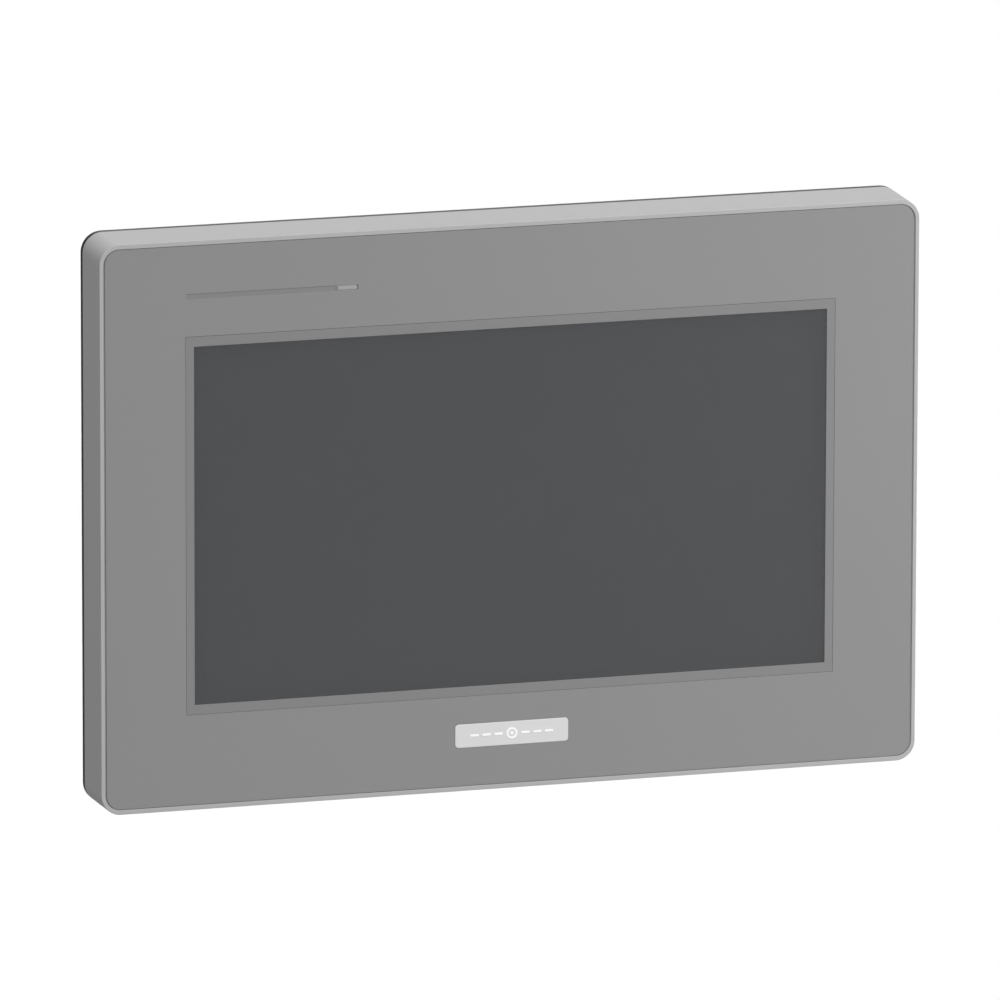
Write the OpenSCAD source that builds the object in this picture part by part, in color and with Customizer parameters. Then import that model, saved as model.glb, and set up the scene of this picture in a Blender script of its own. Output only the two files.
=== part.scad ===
// Panel-mounted operator terminal with a wide touch display.
// Millimetres, +Z up, the screen looks along -Y. The origin is the centre of the plane where
// the gasket meets the front of the mounting panel, so y < 0 is outside the cabinet.

/* [Front frame] */
// Width of the front frame at its back edge
bezel_w = 199.5; // [198:0.5:204]
// Height of the front frame at its back edge
bezel_h = 135.9; // [135:0.1:140]
// Depth of the front frame without the rear case's flange
bezel_depth = 14.5; // [14:0.25:17]
// How far each side wall leans in from back to front
bezel_draft = 0.15; // [0.1:0.05:0.6]
// Corner radius of the front frame at its front edge
bezel_corner_r = 4.7; // [4:0.1:7]
// Thickness of the frame's side walls
bezel_wall = 2.5; // [2:0.1:3]
// Width of the raised rim around the grey front sheet
rim_w = 0.9; // [0.7:0.1:1.2]
// Chamfer on the rim's outer edge
rim_chamfer = 0.25; // [0.1:0.05:0.3]
// Width of the fine groove between rim and front sheet
groove_w = 0.4; // [0.3:0.05:0.5]

/* [Display] */
// Visible width of the display
view_w = 154.05; // [150:0.05:155]
// Visible height of the display
view_h = 85.1; // [82:0.05:86]
// Width of the window in the front sheet
window_w = 158.2; // [157:0.1:159]
// Height of the window in the front sheet
window_h = 90; // [89:0.1:91]

/* [Front details] */
// Height of the status line and the badge above and below the centre
detail_z = 54.4; // [53.5:0.1:56]
// Length of the engraved status line
status_line_w = 36.3; // [20:0.1:37]
// Height of the engraved status line
status_line_h = 1.25; // [0.8:0.05:1.6]
// Length of the lit window at the end of the status line
led_w = 4.6; // [3:0.1:6]
// Height of the lit window
led_h = 1.0; // [0.8:0.05:1.4]
// Width of the badge plate
badge_w = 27.7; // [20:0.1:34]
// Height of the badge plate
badge_h = 5.65; // [4:0.05:7]

/* [Rear case] */
// Width of the part that passes through the panel cut-out
waist_w = 188.8; // [188:0.1:189.6]
// Height of the part that passes through the panel cut-out
waist_h = 124.8; // [124:0.1:125.6]
// Width of the raised back
hump_w = 170; // [168:0.5:171]
// Height of the raised back
hump_h = 100; // [99:0.5:101]
// Depth of the case behind the mounting panel's front
case_depth = 26; // [25.5:0.5:30]
// Wall thickness of the rear case
case_wall = 2; // [1.8:0.1:2.2]
// Height of the gasket above the flange before it is squeezed
gasket_proud = 1; // [0.8:0.1:1.2]

/* [Panel clips] */
// Sideways distance of each clip screw from the centre
clip_x = 76; // [75:0.5:77]
// Height of each clip screw from the centre
clip_z = 56.5; // [56:0.25:57]
// Reach of each clip arm from its screw
clip_reach = 10.8; // [10.5:0.1:11]
// Travel of each clip from open to the thinnest panel
clip_travel = 5; // [3:0.25:5]

/* [Service cover] */
// Width of the hinged service cover
cover_w = 46; // [44:0.5:48]
// Height of the hinged service cover below its hinge
cover_h = 32; // [30:0.5:34]

/* [Hidden] */
$fn = 64;

cut = 1;                      // overshoot of every cutting tool
touch = 0.01;                 // overlap that fuses neighbouring pieces of one solid
run_gap = 0.05;               // radial clearance of a shaft in its bore

// Planes along Y, from the cabinet outwards
flange_t = 1.6;
flange_back = -gasket_proud;
flange_front = flange_back - flange_t;
bezel_front = flange_front - bezel_depth;
sheet_step = 0.1;             // the front sheet lies this far below the rim
sheet_t = 0.4;
sheet_front = bezel_front + sheet_step;
sheet_back = sheet_front + sheet_t;

// Front frame and its sheet
front_w = bezel_w - 2 * bezel_draft;
front_h = bezel_h - 2 * bezel_draft;
back_corner_r = bezel_corner_r + bezel_draft;
recess_w = front_w - 2 * rim_w;
recess_h = front_h - 2 * rim_w;
recess_r = bezel_corner_r - rim_w;
sheet_w = recess_w - 2 * groove_w;
sheet_h = recess_h - 2 * groove_w;
sheet_r = recess_r - groove_w;
face_t = 2.2;                 // thickness of the frame's front wall
face_back = sheet_back + face_t;
status_line_x0 = -78.8;
status_line_depth = 0.12;
led_gap = 0.15;
led_x = status_line_x0 + status_line_w + led_gap + led_w / 2;
badge_t = 0.3;
badge_proud = 0.12;
badge_r = 0.9;
badge_front = sheet_front - badge_proud;
badge_back = badge_front + badge_t;
motif_t = 0.1;

// Touch panel and display module
glass_w = 163;
glass_h = 95;
glass_t = 1.8;
glass_gap = 0.3;
seal_t = 0.5;
seal_w = 2.4;
glass_back = sheet_back + glass_t;
seal_back = glass_back + seal_t;
ledge_t = 1.4;
ledge_back = seal_back + ledge_t;
ledge_w = 157.5;
ledge_h = 88.5;
ledge_rim = 2.2;
film_t = 0.35;
film_gap = 0.1;
touch_cable_x = 44;
lcd_cable_x = -12;
lcd_w = 165;
lcd_h = 100;
lcd_front = ledge_back + 0.2;
lcd_frame_t = 0.4;
lcd_cell_t = 1.4;
lcd_back = lcd_front + 5.7;
lcd_rim = 4.5;

// Shield plate and main board
shield_front = lcd_back + 0.5;
shield_t = 1;
shield_back = shield_front + shield_t;
shield_w = 168;
shield_h = 104;
tab_x = 62;
tab_z = 55;
tab_r = 4;
board_front = 6;
board_t = 1.6;
board_back = board_front + board_t;
board_w = 152;
board_top = 44;
board_bottom = -47.5;
standoff_x = 70;
standoff_z = 39;
standoff_r = 2.9;

// Rear case
waist_r = 6;
waist_back = 6;
hump_r = 5;
gasket_t = gasket_proud + 1;
gasket_out_w = 196.4;
gasket_out_h = 132.4;
gasket_ring = 2.6;
port_face = -hump_h / 2;      // lower face of the raised back, where the sockets open
vent_pitch = 6;

// Case screws, M3
m3_r = 1.5;
m3_head_r = 2.75;
m3_head_t = 1.9;
boss_r = 3.4;
head_well = 2.4;
side_screw_x = 89.7;
side_screw_z = 30;
end_screw_x = 28;
end_screw_z = 56.5;
case_screw_tip = -11;
case_screw_places = concat(
    [for (sx = [-1, 1]) for (sz = [-1, 1]) [sx * side_screw_x, sz * side_screw_z]],
    [for (sx = [-1, 1]) for (sz = [-1, 1]) [sx * end_screw_x, sz * end_screw_z]]
);

// Panel clips, M4
m4_r = 2;
m4_head_r = 3.6;
m4_head_t = 2.4;
hub_r = 4;
nut_r = 3;
nut_flange_r = 3.8;
nut_flange_t = 0.8;
nut_front = waist_back + 0.6 + clip_travel;
nut_t = 8.1;
ear_front = nut_front + nut_t + 0.3;
ear_t = 2.5;
ear_back = ear_front + ear_t;
ear_half = 5;
cheek_t = 2;
arm_t = 4;
arm_half = 3.5;
leg_len = 4.2;
leg_tip = waist_back + 0.6;
hub_front = nut_front + nut_flange_t + 0.1;
hub_back = nut_front + nut_t - nut_flange_t - 0.1;
pocket_gap = 0.5;
pocket_wall = 1.5;
screw_tip = waist_back - 2.4;
screw_boss_r = 4.5;

// Sockets on the lower face, from the left edge of the case to the right
dsub_x = -48;
dsub_y = 14.4;
serial_x = -20;
micro_x = -4;
usb_x = 10;
ethernet_x = 30;
inlet_x = 54;
jack_w = 16;
jack_depth = 16;
jack_t = 13.5;
jack_y = board_back + jack_t / 2;
jack_proud = 0.3;
plug_w = 11.9;
plug_t = 8.4;
plug_depth = 12.3;
latch_w = 6.2;
latch_t = 2.4;
inlet_w = 18.4;
inlet_t = 12;
inlet_depth = 12.3;
inlet_wall = 1.4;
inlet_floor = 2;
inlet_pitch = 5.08;
inlet_y = board_back + 0.4 + inlet_t / 2;
usb_w = 13.2;
usb_t = 5.8;
usb_depth = 14;
usb_wall = 0.35;
usb_y = board_back + 0.6 + usb_t / 2;
micro_w = 7.6;
micro_t = 2.8;
micro_depth = 5.6;
micro_y = board_back + 0.2 + micro_t / 2;
socket_gap = 0.3;
dsub_flange_w = 30.8;
dsub_flange_h = 12.5;
dsub_flange_t = 0.8;
dsub_nut_pitch = 25;
dsub_shell_len = 6;
dsub_wall = 0.5;
dsub_pin_pitch = 2.77;
dsub_row_gap = 2.84;
lock_nut_r = 2.887;
lock_nut_bore_r = 1.2;

// Service cover, coding switch and battery
cover_x = 47;
hinge_z = 2;
hinge_y = case_depth - 1.1;
cover_t = 1.9;
cover_gap = 0.3;
barrel_r = 1.3;
hinge_pin_r = 0.8;
hinge_pin_len = 1.6;
cover_rim = 2;
bay_depth = 5;
dip_x = 35;
dip_z = -16;
dip_pitch = 2.54;
dip_count = 4;
dip_t = 3.5;
dip_h = 9.9;
slot_w = 1.5;
slot_h = 4;
slot_depth = 1.2;
slider_w = 1.3;
slider_h = 1.6;
slider_t = 2.1;
slider_start = 0.2;
battery_x = 56;
battery_z = -16;
battery_r = 10;
battery_t = 3.2;
holder_t = 1.4;

// ---------------------------------------------------------------- shared shapes

// Rounded rectangle in the X-Z plane, given as a flat outline
module rounded(w, h, r) {
    square([w, h - 2 * r], center = true);
    square([w - 2 * r, h], center = true);
    for (sx = [-1, 1]) for (sz = [-1, 1])
        translate([sx * (w / 2 - r), sz * (h / 2 - r)]) circle(r);
}

// Stretches an X-Z outline from y0 to y1
module stretch(y0, y1) {
    translate([0, y1, 0]) rotate([90, 0, 0]) linear_extrude(y1 - y0) children();
}

module slab(w, h, r, y0, y1) {
    stretch(y0, y1) rounded(w, h, r);
}

// Ring with an outer and an inner rounded outline
module ring(w, h, r, in_w, in_h, in_r, y0, y1) {
    stretch(y0, y1) difference() {
        rounded(w, h, r);
        rounded(in_w, in_h, in_r);
    }
}

// Square-edged block centred at (x, z)
module block(x, z, w, h, y0, y1) {
    translate([x - w / 2, y0, z - h / 2]) cube([w, y1 - y0, h]);
}

// Round bar along Y
module bar(x, z, r, y0, y1) {
    translate([x, y1, z]) rotate([90, 0, 0]) cylinder(h = y1 - y0, r = r);
}

// Block that hangs below z_top, for the sockets that open downwards
module down_block(x, y, w, t, z_low, z_high) {
    translate([x - w / 2, y - t / 2, z_low]) cube([w, t, z_high - z_low]);
}

// Block with rounded corners whose four sides lean in by lean from y1 to y0
module leaning_slab(w, h, r, y0, y1, lean) {
    len = y1 - y0;
    for (sx = [-1, 1]) for (sz = [-1, 1])
        translate([sx * (w / 2 - r), y1, sz * (h / 2 - r)]) rotate([90, 0, 0])
            cylinder(h = len, r1 = r, r2 = r - lean);
    translate([0, 0, -(h / 2 - r)]) linear_extrude(h - 2 * r)
        polygon([[-w / 2, y1], [w / 2, y1], [w / 2 - lean, y0], [-w / 2 + lean, y0]]);
    translate([-(w / 2 - r), 0, 0]) rotate([90, 0, 90]) linear_extrude(w - 2 * r)
        polygon([[y1, -h / 2], [y1, h / 2], [y0, h / 2 - lean], [y0, -h / 2 + lean]]);
}

// Pan-head screw whose head stands behind y_seat and whose tip points forward
module screw(x, z, r, head_r, head_t, y_seat, y_tip) {
    difference() {
        union() {
            bar(x, z, r, y_tip, y_seat + touch);
            bar(x, z, head_r, y_seat, y_seat + head_t);
        }
        for (turn = [0, 90])
            translate([x, 0, z]) rotate([0, turn, 0])
                block(0, 0, head_r, head_r / 4, y_seat + head_t / 2, y_seat + head_t + cut);
    }
}

// ---------------------------------------------------------------- front

module bezel() {
    color("#a9aaab") difference() {
        union() {
            difference() {
                union() {
                    leaning_slab(bezel_w, bezel_h, back_corner_r, bezel_front + rim_chamfer,
                        flange_front, bezel_draft);
                    leaning_slab(front_w, front_h, bezel_corner_r, bezel_front,
                        bezel_front + rim_chamfer, rim_chamfer);
                }
                slab(bezel_w - 2 * bezel_wall, bezel_h - 2 * bezel_wall,
                    bezel_corner_r - bezel_wall + 1, face_back, flange_front + cut);
            }
            slab(glass_w + 2 * (glass_gap + ledge_rim), glass_h + 2 * (glass_gap + ledge_rim),
                1, face_back - touch, ledge_back);
            for (p = case_screw_places)
                bar(p[0], p[1], boss_r, face_back - touch, flange_front);
            for (sx = [-1, 1]) for (sz = [-1, 1])
                bar(sx * tab_x, sz * tab_z, 3, face_back - touch, shield_front);
        }
        slab(recess_w, recess_h, recess_r, bezel_front - cut, sheet_back);
        slab(glass_w + 2 * glass_gap, glass_h + 2 * glass_gap, 0.5, sheet_back - cut, seal_back);
        block(0, 0, ledge_w, ledge_h, seal_back - cut, ledge_back + cut);
        block(touch_cable_x, -glass_h / 2 - 2.2, 12, 4.8, sheet_back - cut, ledge_back + cut);
        block(led_x, detail_z, led_w, led_h, sheet_back - cut, face_back + cut);
        for (p = case_screw_places)
            bar(p[0], p[1], m3_r + run_gap, case_screw_tip - 0.5, flange_front + cut);
        for (sx = [-1, 1]) for (sz = [-1, 1])
            bar(sx * tab_x, sz * tab_z, m3_r + run_gap, shield_front - 5, shield_front + cut);
    }
}

module front_overlay() {
    color("#8f9090") difference() {
        slab(sheet_w, sheet_h, sheet_r, sheet_front, sheet_back);
        block(0, 0, window_w, window_h, sheet_front - cut, sheet_back + cut);
        block(status_line_x0 + status_line_w / 2, detail_z, status_line_w, status_line_h,
            sheet_front - cut, sheet_front + status_line_depth);
        block(led_x, detail_z, led_w + 2 * led_gap, status_line_h,
            sheet_front - cut, sheet_back + cut);
        translate([0, 0, -detail_z]) slab(badge_w + 0.1, badge_h + 0.1, badge_r,
            sheet_front - cut, badge_back);
    }
}

module badge_plate() {
    color("#d6d7d8") translate([0, 0, -detail_z])
        slab(badge_w, badge_h, badge_r, badge_front, badge_back);
}

// Plain mark: a ring and a dot between short bars, with no lettering
module badge_motif() {
    ring_r = 1.35;
    ring_w = 0.45;
    dot_r = 0.4;
    bar_w = 2.1;
    bar_h = 0.5;
    bar_pitch = 2.9;
    bars = 3;
    color("white") translate([0, 0, -detail_z]) stretch(badge_front - motif_t, badge_front) {
        difference() {
            circle(ring_r);
            circle(ring_r - ring_w);
        }
        circle(dot_r);
        for (side = [-1, 1]) for (i = [1 : bars])
            translate([side * (i * bar_pitch + 0.4), 0]) rounded(bar_w, bar_h, bar_h / 2 - 0.01);
    }
}

module led_window() {
    color("#cfd2cf") {
        block(led_x, detail_z, led_w - 0.1, led_h - 0.1, sheet_front, face_back + touch);
        block(led_x, detail_z, led_w + 2, led_h + 2, face_back, face_back + 0.8);
    }
}

module led_board() {
    color("#2f5d3a") {
        block(led_x, detail_z, 12, 6, face_back + 2, face_back + 3);
        block(led_x, detail_z, 3, 1.6, face_back + 1.1, face_back + 2 + touch);
        for (side = [-1, 1])
            bar(led_x + side * 4.8, detail_z, 1, face_back, face_back + 2 + touch);
    }
}

module touch_film() {
    color("#55585a") block(0, 0, window_w - 2 * film_gap, window_h - 2 * film_gap,
        sheet_back - film_t, sheet_back);
}

module touch_glass() {
    color("#7d8a86", 0.6) block(0, 0, glass_w, glass_h, sheet_back, glass_back);
}

module touch_seal() {
    color("#202122") difference() {
        block(0, 0, glass_w, glass_h, glass_back, seal_back);
        block(0, 0, glass_w - 2 * seal_w, glass_h - 2 * seal_w, glass_back - cut, seal_back + cut);
    }
}

// Flat tail of the touch panel: down behind the glass edge, back past the display, to the board
module touch_cable() {
    tail_w = 9;
    tail_t = 0.25;
    tail_z = -lcd_h / 2 - 1.6;
    tail_back = board_front - 2.6;
    color("#b97b2e") {
        block(touch_cable_x, (tail_z - glass_h / 2) / 2 - tail_t / 4, tail_w,
            -tail_z - glass_h / 2 + tail_t / 2, glass_back - tail_t, glass_back);
        block(touch_cable_x, tail_z, tail_w, tail_t, glass_back - tail_t, tail_back);
        block(touch_cable_x, tail_z + 5, tail_w, 10 + tail_t, tail_back - tail_t, tail_back);
        block(touch_cable_x, tail_z + 9, tail_w + 3, 3, tail_back - touch, board_front);
    }
}

// ---------------------------------------------------------------- display module

module lcd_cell() {
    color("#3c4043") block(0, 0, lcd_w - 2, lcd_h - 2, lcd_front + lcd_frame_t,
        lcd_front + lcd_frame_t + lcd_cell_t);
}

module lcd_frame() {
    color("#b9bcbf") difference() {
        block(0, 0, lcd_w, lcd_h, lcd_front, lcd_back - 1);
        block(0, 0, lcd_w - 1, lcd_h - 1, lcd_front + lcd_frame_t, lcd_back);
        block(0, 0, lcd_w - 2 * lcd_rim, lcd_h - 2 * lcd_rim - 3, lcd_front - cut, lcd_back);
    }
}

module backlight_tray() {
    color("#e6e6e2") block(0, 0, lcd_w - 2, lcd_h - 2, lcd_front + lcd_frame_t + lcd_cell_t,
        lcd_back);
}

// Flat display cable: out below the tray, back below the shield plate, up to the board
module lcd_cable() {
    cable_w = 22;
    cable_t = 0.3;
    low_z = -lcd_h / 2 - 4;
    tray_low = -lcd_h / 2 + 1;
    front_y = lcd_back - 0.5;
    back_y = board_front - 2.6;
    color("#c08a3c") {
        block(lcd_cable_x, (tray_low + low_z) / 2 - cable_t / 4, cable_w,
            tray_low - low_z + cable_t / 2, front_y, front_y + cable_t);
        block(lcd_cable_x, low_z, cable_w, cable_t, front_y, back_y);
        block(lcd_cable_x, low_z + 6, cable_w, 12 + cable_t, back_y - cable_t, back_y);
        block(lcd_cable_x, low_z + 11, cable_w + 3, 3, back_y - touch, board_front);
    }
}

module shield_plate() {
    cable_gap = 25;
    color("#c3c6c8") difference() {
        union() {
            slab(shield_w, shield_h, 3, shield_front, shield_back);
            for (sx = [-1, 1]) for (sz = [-1, 1]) {
                bar(sx * tab_x, sz * tab_z, tab_r, shield_front, shield_back);
                block(sx * tab_x, sz * (tab_z - 2), 2 * tab_r, 4, shield_front, shield_back);
            }
        }
        for (sx = [-1, 1]) for (sz = [-1, 1])
            bar(sx * tab_x, sz * tab_z, m3_r + 0.2, shield_front - cut, shield_back + cut);
        for (x = [lcd_cable_x, touch_cable_x])
            block(x, -shield_h / 2, cable_gap, 3.2, shield_front - cut, shield_back + cut);
        for (i = [-3 : 3])
            block(i * 20, 0, 3, 60, shield_front - cut, shield_back + cut);
    }
}

module shield_screws() {
    color("#9da1a4") for (sx = [-1, 1]) for (sz = [-1, 1])
        screw(sx * tab_x, sz * tab_z, m3_r, m3_head_r, m3_head_t, shield_back, shield_front - 4.5);
}

module standoffs() {
    color("#c9a24b") for (sx = [-1, 1]) for (sz = [-1, 1]) difference() {
        translate([sx * standoff_x, board_front, sz * standoff_z]) rotate([90, 0, 0])
            cylinder(h = board_front - shield_back, r = standoff_r, $fn = 6);
        bar(sx * standoff_x, sz * standoff_z, m3_r + run_gap, board_front - 6, board_front + cut);
    }
}

// ---------------------------------------------------------------- electronics

module main_board() {
    board_h = board_top - board_bottom;
    color("#1f5a3a") difference() {
        block(0, (board_top + board_bottom) / 2, board_w, board_h, board_front, board_back);
        for (sx = [-1, 1]) for (sz = [-1, 1])
            bar(sx * standoff_x, sz * standoff_z, m3_r + 0.2, board_front - cut, board_back + cut);
    }
}

module board_screws() {
    color("#9da1a4") for (sx = [-1, 1]) for (sz = [-1, 1])
        screw(sx * standoff_x, sz * standoff_z, m3_r, m3_head_r, m3_head_t, board_back,
            board_front - 5);
}

// Packages and capacitors on the back of the main board
module board_chips() {
    chip_t = 1.5;
    color("#26282a") {
        block(-20, 12, 19, 19, board_back, board_back + chip_t);
        for (i = [0, 1]) block(4 + i * 14, 12, 9, 13, board_back, board_back + chip_t - 0.3);
        block(-48, 16, 14, 14, board_back, board_back + chip_t);
        block(54, 24, 12, 8, board_back, board_back + chip_t + 1);
        block(20, -14, 10, 10, board_back, board_back + chip_t);
        for (i = [0 : 3]) bar(34 + i * 9, 37, 3.2, board_back, board_back + 8);
        block(-52, -14, 12, 12, board_back, board_back + 5);
    }
}

module heat_sink() {
    sink_w = 36;
    base_t = 2;
    fin_t = 1.2;
    fins = 8;
    base_front = board_back + 1.5;
    color("#b4b7ba") {
        block(-20, 12, sink_w, sink_w, base_front, base_front + base_t);
        for (i = [0 : fins - 1])
            block(-20 - sink_w / 2 + fin_t / 2 + i * (sink_w - fin_t) / (fins - 1), 12,
                fin_t, sink_w, base_front + base_t - touch, base_front + 9);
    }
}

// ---------------------------------------------------------------- rear case

// Moves a clip drawn at the upper right corner to another one. Right-hand screws drag every arm
// the same way round, so the lower clips are the upper ones turned over, not mirrored.
module at_corner(sx, sz) {
    rotate([0, sz < 0 ? 180 : 0, 0]) translate([(sx * sz - 1) * clip_x, 0, 0]) children();
}

// Ear, cheek, blind screw seat and pocket wall of one clip, at the upper right corner
module clip_seat_solid() {
    cheek_x = clip_x - ear_half - cheek_t / 2;
    ear_low = hump_h / 2 - case_wall + 0.2;
    ear_top = clip_z + ear_half;
    ear_mid = (ear_low + ear_top) / 2;
    ear_h = ear_top - ear_low;
    pocket_x = clip_x + clip_reach - leg_len / 2;
    pocket_w = leg_len + 2 * (pocket_gap + pocket_wall);
    pocket_h = 2 * (arm_half + pocket_gap + pocket_wall);
    block(clip_x - cheek_t / 2, ear_mid, 2 * ear_half + cheek_t, ear_h, ear_front, ear_back);
    block(cheek_x, ear_mid, cheek_t, ear_h, waist_back - touch, ear_back);
    bar(clip_x, clip_z, screw_boss_r, screw_tip - 2, waist_back - touch);
    block(pocket_x, clip_z, pocket_w, pocket_h, waist_back - clip_travel - 1.8,
        waist_back - touch);
}

module clip_seat_cuts() {
    pocket_x = clip_x + clip_reach - leg_len / 2;
    bar(clip_x, clip_z, m4_r + run_gap, screw_tip - 0.5, ear_back + cut);
    block(pocket_x, clip_z, leg_len + 2 * pocket_gap, 2 * (arm_half + pocket_gap),
        waist_back - clip_travel - 0.3, waist_back + cut);
}

// Downward openings for the sockets
module socket_cuts() {
    low = port_face - cut;
    high = port_face + case_wall + cut;
    down_block(serial_x, jack_y, jack_w + 2 * socket_gap, jack_t + 2 * socket_gap, low, high);
    down_block(ethernet_x, jack_y, jack_w + 2 * socket_gap, jack_t + 2 * socket_gap, low, high);
    down_block(inlet_x, inlet_y, inlet_w + 2 * socket_gap, inlet_t + 2 * socket_gap, low, high);
    down_block(usb_x, usb_y, usb_w + 2 * socket_gap, usb_t + 2 * socket_gap, low, high);
    down_block(micro_x, micro_y, micro_w + 2 * socket_gap, micro_t + 2 * socket_gap, low, high);
    down_block(dsub_x, dsub_y, 20, 10.4, low, high);
}

module vents() {
    top_slots = 17;
    back_slots = 21;
    for (i = [0 : top_slots - 1])
        translate([(i - (top_slots - 1) / 2) * 7 - 1.5, 10, hump_h / 2 - case_wall - cut])
            cube([3, 11, case_wall + 2 * cut]);
    for (i = [0 : back_slots - 1])
        block((i - (back_slots - 1) / 2) * vent_pitch, 27, 2, 24,
            case_depth - case_wall - cut, case_depth + cut);
}

// Recess, opening and hinge bores of the service cover
module cover_cuts() {
    recess_top = hinge_z + 2;
    recess_low = hinge_z - cover_h - cover_gap;
    recess_mid = (recess_top + recess_low) / 2;
    recess_width = cover_w + 2 * cover_gap;
    block(cover_x, recess_mid, recess_width, recess_top - recess_low,
        hinge_y + 0.8 - cover_t, case_depth + cut);
    block(cover_x, hinge_z, recess_width, 4, hinge_y - barrel_r - 0.4, case_depth + cut);
    block(cover_x, hinge_z - cover_h / 2 - 1, cover_w - 2 * cover_rim, cover_h - 2 * cover_rim - 2,
        case_depth - bay_depth - cut, case_depth + cut);
    translate([cover_x, hinge_y, hinge_z]) rotate([0, 90, 0])
        cylinder(h = recess_width + 2 * hinge_pin_len + 0.2, r = hinge_pin_r + run_gap,
            center = true);
    bar(cover_x, recess_low, 4.5, case_depth - 1.2, case_depth + cut);
}

module rear_case() {
    cover_mid = hinge_z - cover_h / 2 + 1;
    color("#2b2d2f") difference() {
        union() {
            difference() {
                union() {
                    slab(bezel_w, bezel_h, back_corner_r, flange_front, flange_back);
                    slab(waist_w, waist_h, waist_r, flange_front, waist_back);
                    slab(hump_w, hump_h, hump_r, waist_back - touch, case_depth);
                }
                slab(waist_w - 2 * case_wall, waist_h - 2 * case_wall, waist_r - case_wall,
                    flange_front - cut, waist_back - case_wall);
                slab(hump_w - 2 * case_wall, hump_h - 2 * case_wall, hump_r - case_wall,
                    waist_back - case_wall - cut, case_depth - case_wall);
            }
            for (sx = [-1, 1]) for (sz = [-1, 1]) at_corner(sx, sz) clip_seat_solid();
            for (p = case_screw_places)
                bar(p[0], p[1], boss_r, flange_front, waist_back - touch);
            block(cover_x, cover_mid, cover_w + 6, cover_h + 8,
                case_depth - bay_depth, case_depth - touch);
        }
        for (sx = [-1, 1]) for (sz = [-1, 1]) at_corner(sx, sz) clip_seat_cuts();
        for (p = case_screw_places) {
            bar(p[0], p[1], m3_r + 0.1, flange_front - cut, waist_back);
            bar(p[0], p[1], m3_head_r + 0.3, waist_back - head_well, waist_back + cut);
        }
        ring(gasket_out_w, gasket_out_h, 4, gasket_out_w - 2 * gasket_ring,
            gasket_out_h - 2 * gasket_ring, 2, flange_back + gasket_proud - gasket_t,
            flange_back + cut);
        socket_cuts();
        vents();
        cover_cuts();
        translate([-34, 0, -14]) slab(72.4, 40.4, 2, case_depth - 0.2, case_depth + cut);
    }
}

module panel_gasket() {
    color("#17181a") ring(gasket_out_w, gasket_out_h, 4, gasket_out_w - 2 * gasket_ring,
        gasket_out_h - 2 * gasket_ring, 2, -gasket_t, 0);
}

module case_screws() {
    color("#8e9296") for (p = case_screw_places)
        screw(p[0], p[1], m3_r, m3_head_r, m3_head_t, waist_back - head_well, case_screw_tip);
}

module rating_label() {
    color("#d9dadb") translate([-34, 0, -14]) slab(72, 40, 2, case_depth - 0.2, case_depth + 0.05);
}

// ---------------------------------------------------------------- sockets

module power_inlet() {
    low = port_face - jack_proud;
    color("#1d6b4f") difference() {
        down_block(inlet_x, inlet_y, inlet_w, inlet_t, low, low + inlet_depth);
        down_block(inlet_x, inlet_y, inlet_w - 2 * inlet_wall, inlet_t - 2 * inlet_wall,
            low - cut, low + inlet_depth - inlet_floor);
        for (i = [-1 : 1]) down_block(inlet_x + i * inlet_pitch, inlet_y + inlet_t / 2, 1.6,
            2 * inlet_wall + 1, low - cut, low + 5);
    }
}

module power_pins() {
    root_z = port_face - jack_proud + inlet_depth - inlet_floor;
    color("#c9b25a") for (i = [-1 : 1])
        down_block(inlet_x + i * inlet_pitch, inlet_y, 1, 1, root_z - 5, root_z);
}

// Eight-way modular jack that opens downwards, with its latch notch to the rear
module modular_jack(x) {
    low = port_face - jack_proud;
    plug_y = jack_y - 0.9;
    difference() {
        down_block(x, jack_y, jack_w, jack_t, low, low + jack_depth);
        down_block(x, plug_y, plug_w, plug_t, low - cut, low + plug_depth);
        down_block(x, plug_y + plug_t / 2 + latch_t / 2 - touch, latch_w, latch_t,
            low - cut, low + plug_depth);
    }
}

module ethernet_jack() {
    color("#b6b9bc") modular_jack(ethernet_x);
}

module serial_jack() {
    color("#2a2b2d") modular_jack(serial_x);
}

module usb_a_shell() {
    low = port_face - 2 * jack_proud;
    color("#c4c7ca") difference() {
        down_block(usb_x, usb_y, usb_w, usb_t, low, low + usb_depth);
        down_block(usb_x, usb_y, usb_w - 2 * usb_wall, usb_t - 2 * usb_wall, low - cut,
            low + usb_depth - 1);
    }
}

module usb_a_tongue() {
    low = port_face - 2 * jack_proud;
    color("#ececea") down_block(usb_x, usb_y - 0.9, 11.1, 1.9, low + 1.2, low + usb_depth - 1);
}

module usb_micro_socket() {
    low = port_face - jack_proud;
    color("#c4c7ca") {
        difference() {
            down_block(micro_x, micro_y, micro_w, micro_t, low, low + micro_depth);
            down_block(micro_x, micro_y, micro_w - 0.6, micro_t - 0.6, low - cut,
                low + micro_depth - 0.6);
        }
        down_block(micro_x, micro_y, 4, 0.6, low + 0.8, low + micro_depth - 0.5);
    }
}

// Outline of the nine-way shell, wider towards the main board
module dsub_outline(inset) {
    half_h = 4.2 - inset;
    half_wide = 8.7 - inset;
    half_narrow = 7.2 - inset;
    polygon([[-half_wide, -half_h], [half_wide, -half_h], [half_narrow, half_h],
        [-half_narrow, half_h]]);
}

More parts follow.
